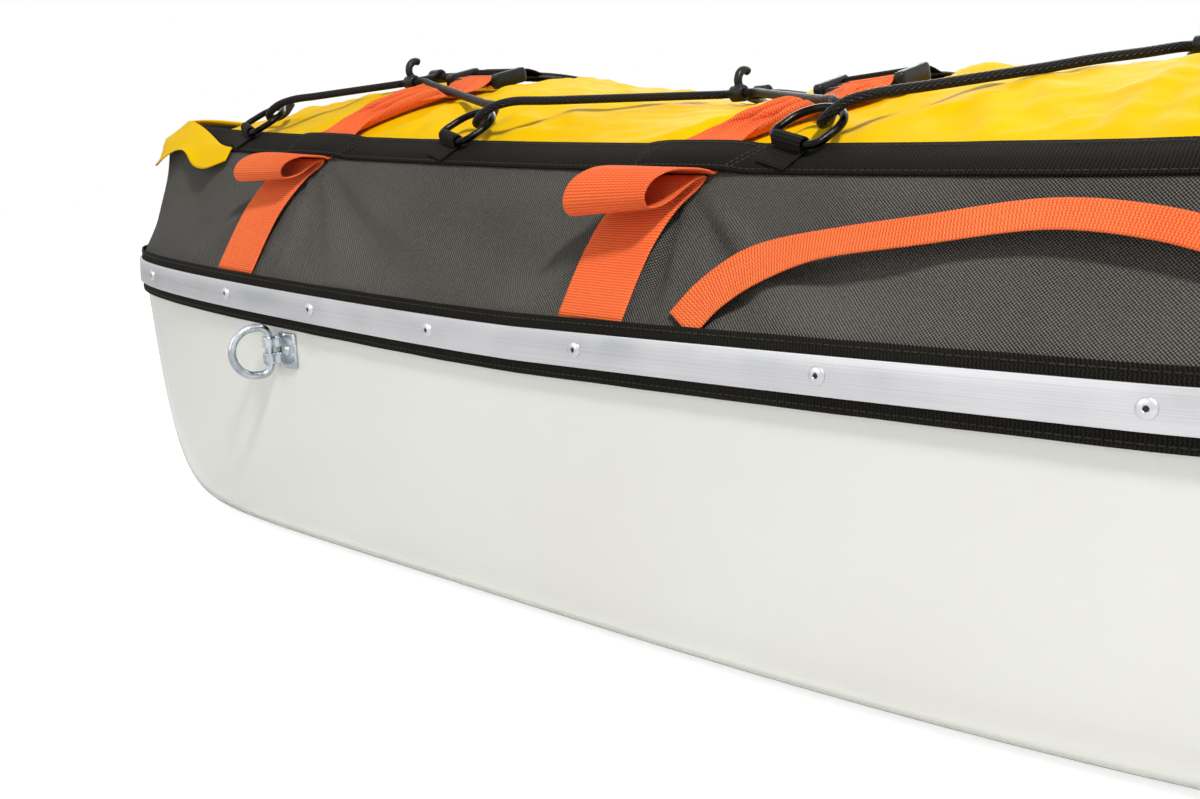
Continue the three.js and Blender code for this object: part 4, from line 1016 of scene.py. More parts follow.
def gelcoat():
    """Glossy gelcoat: a faint ripple of the mould, and scuffs low on the hull."""
    nodes = Nodes("gelcoat")
    place = nodes.object_place()
    height_z = nodes.add("ShaderNodeSeparateXYZ", {0: place}).outputs["Z"]
    ripple = nodes.noise(place, 7, 2)
    peel = nodes.noise(place, 260, 2)
    drawn_out = nodes.add("ShaderNodeMapping", {"Vector": place, "Scale": (6, 40, 260)})
    scratches = nodes.noise(drawn_out.outputs[0], 3, 4)
    low = nodes.ramp(height_z, SCUFFED_BELOW, SCUFFED_FULLY_BELOW)
    scuffed = nodes.math("MULTIPLY", low, nodes.ramp(scratches, 0.52, 0.7))
    tone = nodes.ramp(ripple, 0.25, 0.75)
    base = nodes.blend(tone, colour(227, 227, 220), colour(231, 231, 225))
    nodes.set(
        Base_Color=nodes.blend(nodes.math("MULTIPLY", scuffed, 0.3), base, colour(188, 187, 178)),
        Roughness=nodes.math("MULTIPLY_ADD", scuffed, 0.3, nodes.ramp(ripple, 0.3, 0.7, 0.16, 0.22)),
        Coat_Weight=0.35,
        Coat_Roughness=0.06,
        Normal=nodes.bump(nodes.math("MULTIPLY_ADD", peel, 0.02, ripple), GELCOAT_RELIEF, 0.4),
    )
    return nodes.material


def brushed(name, light, dark, roughness, scale):
    """Metal with fine lines along its length, and duller patches."""
    nodes = Nodes(name)
    u, v = nodes.weave_place()
    along, across = nodes.math("MULTIPLY", u, 4), nodes.math("MULTIPLY", v, scale)
    lines = nodes.noise(nodes.add("ShaderNodeCombineXYZ", {0: along, 1: across}).outputs[0], 1, 2, 0.5)
    patches = nodes.noise(nodes.object_place(), 14, 3)
    tone = nodes.math("MULTIPLY_ADD", nodes.ramp(lines, 0.3, 0.7), 0.5, nodes.ramp(patches, 0.3, 0.7, 0, 0.5))
    nodes.set(
        Base_Color=nodes.blend(tone, dark, light),
        Metallic=1.0,
        Roughness=nodes.ramp(patches, 0.3, 0.7, roughness - 0.05, roughness + 0.08),
        Normal=nodes.bump(lines, BRUSHED_RELIEF, 0.2),
    )
    return nodes.material


def plated(name, light, dark, roughness):
    """Bright plating: shallow dents from barrel plating, a cloudy tint and darker patches."""
    nodes = Nodes(name)
    place = nodes.object_place()
    clouds = nodes.noise(place, 90, 3)
    dents = nodes.noise(place, 380, 2)
    nodes.set(
        Base_Color=nodes.blend(nodes.ramp(clouds, 0.35, 0.65), dark, light),
        Metallic=1.0,
        Roughness=nodes.ramp(clouds, 0.3, 0.7, roughness, roughness + 0.14),
        Normal=nodes.bump(dents, PLATED_RELIEF, 0.35),
    )
    return nodes.material


def moulded(name, light, dark, roughness):
    """Moulded plastic with a fine grain, worn shinier in patches."""
    nodes = Nodes(name)
    place = nodes.object_place()
    grain = nodes.noise(place, 1500, 2)
    wear = nodes.noise(place, 120, 3)
    nodes.set(
        Base_Color=nodes.blend(nodes.ramp(wear, 0.4, 0.75), dark, light),
        Roughness=nodes.ramp(wear, 0.3, 0.7, roughness - 0.08, roughness + 0.1),
        Specular_IOR_Level=0.3,
        Normal=nodes.bump(grain, MOULDED_RELIEF, 0.4),
    )
    return nodes.material


def braid(name):
    """Shock cord's braided cover: two sets of threads that wind opposite ways, painted lighter on their tops
    as highlight and darker between them as shade.
    """
    nodes = Nodes(name)
    u, v = nodes.weave_place()
    winding = nodes.math("MULTIPLY", v, BRAID_STRANDS / CORD_RADIUS)
    advance = nodes.math("MULTIPLY", u, 2 * math.pi / BRAID_PITCH)
    left = nodes.math("SINE", nodes.math("ADD", advance, winding))
    right = nodes.math("SINE", nodes.math("SUBTRACT", advance, winding))
    threads = nodes.math("MAXIMUM", left, right)
    fuzz = nodes.noise(nodes.object_place(), 700, 2)
    # Colour from the braid's threads is painted highlight and shade; the fuzz is the cord's own tone.
    tone_and_painted_thread_shade = nodes.math("MULTIPLY_ADD", fuzz, 0.5, nodes.ramp(threads, 0, 1, 0, 0.6))
    nodes.set(
        Base_Color=nodes.blend(tone_and_painted_thread_shade, colour(6, 6, 6), colour(24, 23, 22)),
        Roughness=0.42,
        Specular_IOR_Level=0.16,
        Normal=nodes.bump(threads, BRAID_RELIEF, 0.8),
    )
    return nodes.material


def make_materials():
    black, orange = (BLACK_RIB, BLACK_COLUMN, 0.7), (ORANGE_RIB, ORANGE_COLUMN, 0.65)
    canvas = (CANVAS_PITCH, CANVAS_RELIEF, 0.65)
    return {
        "gelcoat": gelcoat(),
        "aluminium": brushed("aluminium", colour(222, 222, 224), colour(194, 195, 198), 0.3, 1300),
        # Webbing: its dark colour is partly painted shade in the weave's grooves, its light colour partly
        # painted highlight on the ribs.
        "black_webbing": webbing("black_webbing", colour(38, 36, 31), colour(7, 7, 6), *black),
        # Grey cloth: its dark colour is partly painted shade between the threads, its light colour partly
        # painted highlight on them.
        "grey_fabric": woven("grey_fabric", colour(134, 131, 124), colour(41, 39, 37), *canvas),
        "yellow_fabric": coated_cloth("yellow_fabric", colour(240, 194, 0), colour(232, 182, 0)),
        # Webbing: its dark colour is partly painted shade in the weave's grooves, its light colour partly
        # painted highlight on the ribs.
        "orange_webbing": webbing("orange_webbing", colour(252, 130, 76), colour(228, 74, 34), *orange),
        "black_plastic": moulded("black_plastic", colour(26, 25, 24), colour(10, 10, 9), 0.38),
        "black_steel": plated("black_steel", colour(42, 41, 40), colour(16, 16, 17), 0.2),
        "zinc_steel": plated("zinc_steel", colour(205, 212, 216), colour(160, 168, 174), 0.14),
        # Shock cord: its lighter colour is partly painted highlight on the braid's threads, its darker colour
        # partly painted shade between them.
        "shock_cord": braid("shock_cord"),
        "thread": moulded("thread", colour(50, 48, 44), colour(26, 25, 23), 0.6),
        # Rivet stems: their dark grey is partly the steel stem's own colour and partly painted shade in the
        # rivets' holes.
        "stem_grey_and_hole_shade": moulded("stem_grey_and_hole_shade", colour(60, 61, 63), colour(34, 35, 36), 0.5),
    }


MATERIALS = {}


def linked(name, data):
    """A new object in the scene."""
    made = bpy.data.objects.new(name, data)
    bpy.context.scene.collection.objects.link(made)
    return made


def add_piece(name, shape, finish, body="sled", replaces=(), sharp=None):
    """A mesh object that rides on a body, takes the material made for its finish and stands for CAD nodes."""
    mesh = bpy.data.meshes.new(name)
    mesh.from_pydata(shape.points.tolist(), [], shape.faces.tolist())
    layer = mesh.uv_layers.new(name="weave")
    layer.data.foreach_set("uv", shape.uvs.astype(np.float32).ravel())
    mesh.polygons.foreach_set("use_smooth", np.ones(len(mesh.polygons), bool))
    if sharp is not None:
        mesh.set_sharp_from_angle(angle=math.radians(sharp))
    mesh.materials.append(MATERIALS[finish])
    piece = linked(name, mesh)
    if body is not None:
        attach(piece, body)
    for node in replaces:
        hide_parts(node)
    return piece


def add_pair(name, shape, finish, body="sled", replaces=True, sharp=None, role=""):
    """A starboard piece and its mirror image; a body name takes the side's name too, except the sled's."""
    for side, made in (("right", shape), ("left", shape.mirrored())):
        on = body if body == "sled" else f"{body}_{side}"
        nodes = [f"{name}_{side}"] if replaces else []
        add_piece(f"{name}{role}_{side}", made, finish, on, nodes, sharp)


# Hull and rim


def hull_levels():
    """The hull's level shares, smoothed into a round bilge."""
    shares = smooth_path([level[:3] for level in HULL_LEVEL_SHARES], HULL_LEVEL_STEPS)
    bows = smooth_path([(depth, bow, 0) for depth, _, _, bow in HULL_LEVEL_SHARES], HULL_LEVEL_STEPS)
    return np.clip(np.column_stack([shares, bows[:, 1]]), 0, 1)


def hull_plan(side, stern, bow, wall=0):
    """The hull's plan outline at the given shares of its insets."""
    return (
        -HULL_LENGTH / 2 + HULL_STERN_INSET * stern + wall,
        HULL_LENGTH / 2 - HULL_BOW_INSET * bow - wall,
        HULL_HALF_WIDTH - HULL_SIDE_INSET * side - wall,
    )


def hull_ring(depth, side, stern, bow, wall):
    points = outline(hull_plan(side, stern, bow, wall), RIM_COUNT // 2)
    z = lerp(strip_z(points[:, 0]), keel_z(points[:, 0]) + wall, depth)
    return np.column_stack([points, z])


def rim_edge_ring(inward):
    points, out = RIM[::2], RIM_OUT[::2]
    return placed(points, out, np.full(len(points), inward), strip_z(points[:, 0]) + RIM_EDGE_ABOVE_STRIP)


def runner_shape(side):
    """A shallow runner: a rounded ridge that ramps down into the hull's bottom at both ends."""
    x = np.linspace(RUNNER_STERN_X, RUNNER_BOW_X, RUNNER_STATIONS)
    ends = smoothstep(np.minimum(x - RUNNER_STERN_X, RUNNER_BOW_X - x), 0, RUNNER_RAMP)
    turn = np.linspace(math.pi, 2 * math.pi, RUNNER_STEPS)
    y = side * RUNNER_SPACING / 2 + np.sign(np.cos(turn)) * np.abs(np.cos(turn)) ** 0.5 * RUNNER_WIDTH / 2
    drop = np.abs(np.sin(turn)) ** 0.5
    top = RUNNER_HEIGHT + HULL_WALL / 2
    sections = []
    for place, depth in zip(x, ends):
        low = np.column_stack([np.full(RUNNER_STEPS, place), y, top - top * depth * drop])
        high = low.copy()
        high[:, 2] = top + SEAT_GAP
        sections.append(np.vstack([low, high[::-1]]))
    return loft(sections)


def build_hull():
    levels = hull_levels()
    outer = [hull_ring(*shares, 0) for shares in levels[::-1]]
    inner = [hull_ring(*shares, HULL_WALL) for shares in levels]
    shell = loft([*outer, rim_edge_ring(0), rim_edge_ring(HULL_WALL), *inner])
    whole = joined([shell, runner_shape(-1), runner_shape(1)])
    add_piece("hull_shell", whole, "gelcoat", replaces=["hull"], sharp=60)


def rim_sections(frames, profile, wave=0):
    """Sections along the rim of a profile: distances off the hull and heights from the strip's middle."""
    points, out = RIM[frames], RIM_OUT[frames]
    middle = strip_z(points[:, 0]) + wave
    rows = [placed(points, out, np.full(len(points), -off), middle + z) for off, z in profile]
    return np.stack(rows, axis=1)


def trim_profile(inner, thickness, height, corner):
    """A flat bar's section with rounded corners, as distances off the hull and heights."""
    return [(inner + thickness / 2 + off, z) for off, z in rounded_rectangle(thickness, height, corner)]


BAND_OUT = SEAT_GAP
STRIP_OUT = BAND_OUT + BAND_THICKNESS + SEAT_GAP
STRIP_FACE = STRIP_OUT + STRIP_THICKNESS


def build_rim():
    band = trim_profile(BAND_OUT, BAND_THICKNESS, BAND_HEIGHT, BAND_CORNER)
    slack = BAND_SLACK * noise_at(RIM, BAND_WAVE, seed=3)
    tape = loft(rim_sections(slice(None), band, slack), closed=True)
    add_piece("rim_band_tape", tape, "black_webbing", replaces=["rim_band"])
    bar = trim_profile(STRIP_OUT, STRIP_THICKNESS, STRIP_HEIGHT, STRIP_CORNER)
    sections = rim_sections(STARBOARD, bar)
    for end in (0, -1):
        sections[end, :, 1] = -STRIP_END_GAP / 2
    add_pair("rim_strip", loft(sections), "aluminium", sharp=50, role="_bar")
    head = lathed(scaled(RIVET_HEAD_SHARES, RIVET_RADIUS, RIVET_DOME)
                  + scaled(RIVET_HOLE_SHARES, RIVET_HOLE, RIVET_DOME), RIVET_SIDES)
    core = lathed(scaled(RIVET_CORE_SHARES, RIVET_HOLE, RIVET_DOME), CORE_SIDES)
    frames = rivet_frames()
    heads, cores = (joined([shape.moved(frame) for frame in frames]) for shape in (head, core))
    add_pair("rim_rivets", heads, "aluminium", replaces=False, sharp=40)
    # The stems' dark grey is partly their own steel and partly painted shade down in the holes.
    add_pair("rim_rivet_cores", cores, "stem_grey_and_hole_shade", replaces=False, sharp=40)


def rivet_frames():
    """Frames on the strip's face for the rivets of the starboard side, Z off it."""
    points, outs = starboard_frame(along_hull(np.array(RIVET_SHARES)))
    ends = [round(share * RIM_COUNT) for share in END_RIVET_SHARES]
    frames = []
    for point, out in zip(np.vstack([points, RIM[ends]]), np.vstack([outs, RIM_OUT[ends]])):
        face = placed(point, out, -STRIP_FACE, strip_z(point[0]))
        frames.append(basis((-out[1], out[0], 0), (0, 0, 1), (*out, 0), face))
    return frames


# Skirt, webbing, cover and flap


def strap_anchor_folds(x, y, down):
    """Tension folds that fan out from where the straps cross the webbing, as a height off the panel."""
    total = np.zeros(np.broadcast(x, down).shape)
    for k, (_, web_x, _, _) in enumerate(STRAPS.values()):
        along, below = x - web_x, down + ANCHOR_FOLD_FROM
        angle = np.arctan2(below, along)
        fan = np.sin(11 * angle + 1.7 * k + np.sign(y)) + 0.5 * np.sin(19 * angle + k)
        share = np.hypot(along, below) / ANCHOR_FOLD_REACH
        total += ANCHOR_FOLD_HEIGHT * fan * share * np.exp(1 - share)
    return total


def skirt_slack(x, y, height_share, down):
    """How far the skirt stands off its straight panel: folds, sags and puckers along its seams."""
    foot = np.maximum(panel_directions(x)[2] - down, 0)
    window = np.sin(math.pi * np.clip(height_share, 0, 1)) ** 0.6
    run = np.stack([x, y, down], axis=-1)
    slanted = [(x + 1.2 * down) / STREAK_LENGTH, (down - 0.45 * x) / STREAK_PITCH, np.sign(y) * 5.0]
    sag = SKIRT_SAG * noise_at(run, SKIRT_SAG_SIZE, seed=3.1)
    streaks = STREAK_HEIGHT * noise_at(np.stack(slanted, axis=-1), 1, seed=7.7)
    pucker = PUCKER_HEIGHT * np.sin(2 * math.pi * x / PUCKER_PITCH + 2 * np.sin(x * 31))
    puckers = pucker * (np.exp(-foot / PUCKER_FOOT_REACH) + np.exp(-down / PUCKER_TOP_REACH))
    return window * (sag + streaks + strap_anchor_folds(x, y, down)) + puckers * window**0.3


def skirt_face(x, down, lift):
    """One face of the skirt, with the seam that goes on up under the webbing."""
    inset, z = panel_place(x, down, lift)
    return placed(RIM[:, None, :], RIM_OUT[:, None, :], inset, z)


def skirt_seam(depth):
    inset = lean_at(RIM_X) + SEAM_IN - SEAT_GAP
    z = webbing_z(RIM_X) + SEAM_UP - SEAT_GAP - depth / math.cos(WEBBING_SLOPE)
    return placed(RIM, RIM_OUT, inset, z)[:, None, :]


def build_skirt():
    x, y = RIM[:, :1], RIM[:, 1:]
    share = np.linspace(0, 1, SKIRT_ROWS)[None, :]
    length = panel_directions(x)[2]
    down = length * (1 - share)
    hollow = SKIRT_HOLLOW * 4 * share * (1 - share)
    lift = skirt_slack(*np.broadcast_arrays(x, y, share, down)) - hollow
    face, back = skirt_face(x, down, lift), skirt_face(x, down, lift - SKIRT_THICKNESS)
    sections = np.concatenate([face, skirt_seam(0), skirt_seam(SKIRT_THICKNESS), back[:, ::-1]], axis=1)
    skirt = add_piece("side_skirt_cloth", loft(sections, closed=True), "grey_fabric", replaces=["side_skirt"])


def webbing_lift(x):
    return SEAT_GAP + tunnel_lift(x)


def build_webbing():
    profile = rounded_rectangle(1, WEBBING_THICKNESS, WEBBING_CORNER)
    wobble = WEBBING_SLACK * noise_at(RIM, WEBBING_WAVE, seed=9)
    rows = []
    for across, off in profile:
        share = np.clip(across + 0.5, 0, 1)
        lift = webbing_lift(RIM_X) + WEBBING_THICKNESS / 2 + off + np.abs(wobble)
        inset, z = webbing_place(RIM_X, share, lift)
        rows.append(placed(RIM, RIM_OUT, inset + wobble, z))
    tape = loft(np.stack(rows, axis=1), closed=True)
    add_piece("top_webbing_tape", tape, "black_webbing", replaces=["top_webbing"])


def strap_middle_x(name, y):
    """A strap's middle line over the cover: its x at a distance from the middle plane."""
    _, web_x, buckle_x, outboard = STRAPS[name]
    start = cover_half_width(web_x) - WEBBING_IN
    starboard = y < -outboard
    bar = np.where(starboard, -outboard - BUCKLE_BAR_PITCH, -outboard + BUCKLE_BAR_PITCH)
    begin = np.where(starboard, -start, start)
    share = np.clip((y - begin) / (bar - begin), 0, 1)
    return web_x + (buckle_x - web_x) * np.minimum(share / STRAP_STRAIGHT_FROM, 1)


def beside_straps(x, y):
    """How far a point on the cover is from the nearest strap's edge; negative under it."""
    gaps = [np.abs(x - strap_middle_x(name, y)) - STRAP_WIDTH / 2 for name in STRAPS]
    return np.min(gaps, axis=0)


def ring_fans(x, y):
    """Small folds that fan out from the lacing rings."""
    fans = np.zeros_like(x)
    for ring_x in LACE_RING_XS.values():
        ring_y = cover_half_width(ring_x)
        for side in (-1, 1):
            away = np.abs(y - side * ring_y)
            share = np.hypot(x - ring_x, away) / RING_FAN_REACH
            angle = np.arctan2(away, x - ring_x)
            fans += RING_FAN_HEIGHT * np.sin(9 * angle + ring_x * 40) * share * np.exp(1 - share)
    return fans


def cover_slack(x, y, from_edge):
    """The cover's bulges and creases before it settles, as a height off its crown."""
    level = np.zeros_like(x)
    gap = beside_straps(x, y)
    free = smoothstep(gap, *FREE_OF_STRAPS)
    puff = PUFF_HEIGHT * free * np.exp(-np.maximum(gap, 0) / PUFF_REACH)
    bulges = BULGE_HEIGHT * noise_at(np.stack([x, y, level], axis=-1), BULGE_SIZE, seed=1.3)
    slanted = [(x + 0.5 * y) / DRAPE_CREASE_LENGTH, (y - 0.3 * x) / DRAPE_CREASE_PITCH, level]
    creases = DRAPE_CREASE_HEIGHT * np.abs(noise_at(np.stack(slanted, axis=-1), 1, seed=4.2))
    return smoothstep(from_edge, 0, DRAPE_EDGE_REACH) * (free * (bulges + creases + ring_fans(x, y)) + puff)


class Ceiling:
    """Heights that the cover stays under: the undersides of what lies on it."""

    def __init__(self, points, radius):
        self.points = np.asarray(points, float)
        self.radius = radius
        self.tree = kdtree.KDTree(len(self.points))
        for i, (x, y, _) in enumerate(self.points):
            self.tree.insert((x, y, 0), i)
        self.tree.balance()

    def lowered(self, points, thickness=0):
        """Points of something as thick as that, each lowered where it would touch what is over it."""
        result = points.copy()
        for i, (x, y, z) in enumerate(points):
            _, k, distance = self.tree.find((x, y, 0))
            room = CEILING_ROOM_SHARE * self.radius + thickness / 2
            limit = self.points[k][2] - room + CEILING_SLOPE * max(distance - self.radius, 0)
            if distance < CEILING_REACH:
                result[i, 2] = min(z, limit)
        return result


def cover_grid(stations, across_count):
    """Places over the cover's plan, denser at its ends and sides, as x and y."""
    shares = (1 - np.cos(np.linspace(0, math.pi, stations))) / 2
    x = (COVER_FIRST_X + (COVER_LAST_X - COVER_FIRST_X) * shares)[:, None]
    turn = np.linspace(-1, 1, across_count)[None, :] * math.pi / 2
    y = cover_half_width(x) * np.sin(turn)
    return np.broadcast_arrays(x, y)


def edge_distance(x, y):
    return np.minimum(cover_half_width(x) - np.abs(y), np.minimum(x - COVER_FIRST_X, COVER_LAST_X - x))


def grid_object(name, grid):
    rows, columns = grid.shape[:2]
    i, j = np.arange(rows - 1)[:, None] * columns, np.arange(columns - 1)[None, :]
    corners = np.stack([i + j, i + columns + j, i + columns + j + 1, i + j + 1], axis=-1).reshape(-1, 4)
    mesh = bpy.data.meshes.new(name)
    mesh.from_pydata(grid.reshape(-1, 3).tolist(), [], corners.tolist())
    return linked(name, mesh)


def cloth_over_load(grid, held):
    """A slack cloth with its held points in a group, over a load just below it."""
    load = grid_object("load", grid - (0, 0, LOAD_BELOW_COVER))
    load.modifiers.new("collision", "COLLISION")
    load.collision.thickness_outer = CLOTH_DISTANCE
    cloth = grid_object("cloth", grid)
    group = cloth.vertex_groups.new(name="held")
    group.add([int(k) for k in np.flatnonzero(held)], 1, "REPLACE")
    modifier = cloth.modifiers.new("cloth", "CLOTH")
    modifier.collision_settings.distance_min = CLOTH_DISTANCE
    settings = modifier.settings
    settings.quality = CLOTH_QUALITY
    settings.mass = CLOTH_MASS
    settings.tension_stiffness = settings.compression_stiffness = CLOTH_STIFFNESS
    settings.shear_stiffness = CLOTH_SHEAR
    settings.bending_stiffness = CLOTH_BENDING
    settings.vertex_group_mass = "held"
    settings.shrink_min = -CLOTH_SLACK
    return cloth, load


def settled(grid, held):
    """A grid of slack cloth after it has settled over the load, held along its seams and under the straps."""
    cloth, load = cloth_over_load(grid, held)
    scene = bpy.context.scene
    for frame in range(1, CLOTH_FRAMES + 1):
        scene.frame_set(frame)
    fallen = cloth.evaluated_get(bpy.context.evaluated_depsgraph_get()).data
    points = np.empty(len(fallen.vertices) * 3)
    fallen.vertices.foreach_get("co", points)
    for body in (cloth, load):
        bpy.data.objects.remove(body)
    scene.frame_set(1)
    return points.reshape(grid.shape)


def eased(grid, passes):
    """The grid with its points drawn towards their neighbours, its edge kept."""
    grid = grid.copy()
    for _ in range(passes):
        beside = grid[:-2, 1:-1] + grid[2:, 1:-1] + grid[1:-1, :-2] + grid[1:-1, 2:]
        grid[1:-1, 1:-1] = grid[1:-1, 1:-1] / 2 + beside / 8
    return grid


def refining(count, factor):
    """Catmull-Rom weights that put factor steps into each one of an even row."""
    at = np.arange((count - 1) * factor + 1) / factor
    first = np.minimum(at.astype(int), count - 2)
    t = at - first
    weights = np.zeros((len(at), count))
    rows = np.arange(len(at))
    shares = [
        (-t + 2 * t**2 - t**3) / 2,
        (2 - 5 * t**2 + 3 * t**3) / 2,
        (t + 4 * t**2 - 3 * t**3) / 2,
        (t**3 - t**2) / 2,
    ]
    for k, share in enumerate(shares):
        np.add.at(weights, (rows, np.clip(first + k - 1, 0, count - 1)), share)
    return weights


def draped_cover():
    """The cover's grid, slack over its crown and settled as cloth."""
    x, y = cover_grid(COVER_STATIONS, COVER_ACROSS)
    grid = on_crown(x, y, DRAPE_SHARE * cover_slack(x, y, edge_distance(x, y)))
    held = (edge_distance(x, y) < HELD_AT_EDGE) | (beside_straps(x, y) < 0)
    grid = eased(settled(grid, held.ravel()), CLOTH_EASINGS)
    along, across = refining(COVER_STATIONS, COVER_REFINED), refining(COVER_ACROSS, COVER_REFINED)
    return np.einsum("ai,ijk,bj->abk", along, grid, across)


def crinkles(x, y):
    """Fine crinkles and longer creases, fainter near the seams and under the straps."""
    level = np.zeros_like(x)
    free = 0.3 + 0.7 * smoothstep(beside_straps(x, y), 0, FINE_REACH)
    slanted = [(x + y) / CREASE_LENGTH, (y - 0.4 * x) / CREASE_PITCH, level]
    creases = CREASE_HEIGHT * (0.5 - np.abs(noise_at(np.stack(slanted, axis=-1), 1, seed=4.2))) ** 2 * 4
    fine = CRINKLE_HEIGHT * noise_at(np.stack([x, y, level], axis=-1), CRINKLE_SIZE, seed=8.4)
    return smoothstep(edge_distance(x, y), 0, FINE_REACH) * free * (fine + creases - CREASE_HEIGHT / 2)


def build_cover(ceiling):
    top = draped_cover()
    x, y = top[..., 0], top[..., 1]
    z = top[..., 2] + crinkles(x, y)
    z = lerp(crown_z(x, y), z, smoothstep(edge_distance(x, y), *SEAM_REACH))
    bed = smoothstep(-beside_straps(x, y), -2 * STRAP_BED_MARGIN, -STRAP_BED_MARGIN)
    z = lerp(z, np.minimum(z, crown_z(x, y) - STRAP_BED), bed)
    top = ceiling.lowered(np.stack([x, y, z], axis=-1).reshape(-1, 3)).reshape(top.shape)
    under = top - (0, 0, COVER_THICKNESS)
    shape = loft(np.concatenate([top, under[:, ::-1]], axis=1))
    cover = add_piece("top_cover_cloth", shape, "yellow_fabric", replaces=["top_cover"])


def flap_hem(points, run):
    """How far the flap hangs down the skirt along its length, and how full it is towards its ends."""
    ends = smoothstep(np.minimum(run, run[-1] - run), *FLAP_END_REACH)
    from_corner = np.abs(run - run[-1] / 2) - FLAP_CORNER_AT
    wander = noise_at(points, FLAP_WANDER_SIZE, seed=2.2)
    wave = np.cos(2 * math.pi * from_corner / FLAP_WAVE_LENGTH + 1.2 * wander) + 0.5 * wander
    return FLAP_DROP * (0.74 + 0.36 * wave) * (0.6 + 0.4 * ends), ends


def build_flap():
    """The cover's end, folded down over the webbing at the stern with a wavy hem."""
    starboard = np.flatnonzero(RIM_X[STARBOARD] < FLAP_FORWARD_X)
    order = np.concatenate([(len(RIM) - starboard[1:])[::-1] % len(RIM), starboard])
    points, out, x = RIM[order], RIM_OUT[order], RIM_X[order]
    run = run_lengths(points)
    drop, ends = flap_hem(points, run)
    inner = SEAT_GAP + STERN_CORNER_ROOM + WEBBING_THICKNESS + FLAP_STAND_OFF
    slip = 1 - smoothstep(x, FLAP_SLIP_X, FLAP_FORWARD_X)
    stages = [(webbing_place, share * slip, 0, share) for share in np.linspace(1.05, 0, 9)]
    stages += [(panel_place, drop * share, FLAP_CURL * share**2, share) for share in np.linspace(0.15, 1, 8)]
    faces, backs = [], []
    for place, across, curl, share in stages:
        billow = FLAP_BILLOW * (1 + np.sin(run / FLAP_BILLOW_LENGTH + 2 * share)) * ends
        for rows, lift in ((faces, inner + FLAP_THICKNESS + billow), (backs, inner + billow)):
            rows.append(placed(points, out, *place(x, across, lift + curl * ends)))
    shape = loft(np.stack(faces + backs[::-1], axis=1))
    flap = add_piece("stern_flap_cloth", shape, "yellow_fabric", replaces=["stern_flap"])


# Straps and buckles


STRAP_LIFT = SEAT_GAP + STRAP_THICKNESS / 2


def buckle_frame(name):
    """Near bar along X through the origin, the other bars further along Y."""
    _, _, buckle_x, outboard = STRAPS[name]
    half = BUCKLE_WIDTH / 2
    near = -outboard - BUCKLE_BAR_PITCH * math.cos(BUCKLE_TILT)
    slope = (crown_z(buckle_x + half, -outboard) - crown_z(buckle_x - half, -outboard)) / BUCKLE_WIDTH
    across = unit((1, 0, slope))
    along = np.array([0, math.cos(BUCKLE_TILT), math.sin(BUCKLE_TILT)])
    along = unit(along - across * along.dot(across))
    origin = on_crown(buckle_x, near, BUCKLE_SEAT_LIFT + BUCKLE_BAR_RADIUS)
    return basis(across, along, np.cross(across, along), origin)


def bar_loop(name, place, side, lane):
    turns = np.linspace(LOOP_FROM, LOOP_TO, LOOP_STEPS + 1)
    y = place * BUCKLE_BAR_PITCH + side * BAR_LOOP_RADIUS * np.cos(turns)
    z = BAR_LOOP_RADIUS * np.sin(turns)
    return applied(buckle_frame(name), np.column_stack([np.full(len(turns), lane), y, z]))


def strap_on_panel(name, down, lift, lane):
    base_x, web_x, _, _ = STRAPS[name]
    share = np.clip(down / panel_directions(base_x)[2], 0, 1)
    x = web_x + (base_x - web_x) * (1 - (1 - share) ** STRAP_LEAN_POWER) + lane
    return on_starboard(x, *panel_place(x, down, lift))


def strap_foot(base_x):
    band_top = BAND_HEIGHT / 2 - RIM_EDGE_ABOVE_STRIP
    return panel_directions(base_x)[2] - band_top + STRAP_TUCK


def strap_under_webbing(name, lane):
    x = STRAPS[name][1] + lane
    places = [webbing_place(x, share, STRAP_LIFT) for share in WEBBING_CROSS_SHARES]
    return np.array([on_starboard(x, *place) for place in places])


def slack_roll(name, lane):
    """The slack in a roll under the webbing, tighter towards the bow, where the strap is pulled in."""
    size = SLACK_SIZES[name] * lerp(*SLACK_ROLL_TAPER, lane / STRAP_WIDTH + 0.5)
    rows = []
    for drop, off in SLACK_ROLL_SHARES:
        lift = STRAP_LIFT + SLACK_LOOP_STAND_OFF * off * size
        rows.append(strap_on_panel(name, SLACK_LOOP_DROP * drop * size, lift, lane))
    return np.array(rows)


def crown_start(name):
    return cover_half_width(STRAPS[name][1]) - WEBBING_IN


def crown_run(name, start, bar_y, lane, shares, pleat):
    """Over the cover, from the webbing to a bar; pleat is how far the strap is gathered lengthwise."""
    _, web_x, buckle_x, _ = STRAPS[name]
    points = []
    for share in shares:
        gathered = pleat * math.sin(math.pi * share) ** 0.5
        phase = 2 * math.pi * (PLEAT_COUNT * lane / STRAP_WIDTH + 0.5 * share)
        lift = STRAP_LIFT + STRAP_OFF_CROWN + BUCKLE_SEAT_LIFT * share**4
        lift += gathered * PLEAT_HEIGHT * (1 + math.sin(phase))
        x = lerp(web_x, buckle_x, min(share / STRAP_STRAIGHT_FROM, 1))
        x += lane * (1 - PLEAT_NARROWING * gathered) + gathered * PLEAT_SHIFT * math.cos(phase)
        points.append(on_crown(x, lerp(start, bar_y, share), lift))
    return np.array(points)


def right_lane(name, lane):
    foot = strap_foot(STRAPS[name][0])
    panel = [strap_on_panel(name, foot * share, STRAP_LIFT, lane) for share in STRAP_PANEL_SHARES]
    frame = buckle_frame(name)
    bar_y = applied(frame, (lane, 0, 0))[1]
    fold = applied(frame, [(lane, -2 * BUCKLE_BAR_RADIUS, -BAR_LOOP_RADIUS)])
    run = crown_run(name, -crown_start(name), bar_y, lane, RIGHT_CROWN_SHARES, 1)
    return np.vstack([panel, slack_roll(name, lane), strap_under_webbing(name, lane), run,
                      bar_loop(name, 0, 1, lane), fold])


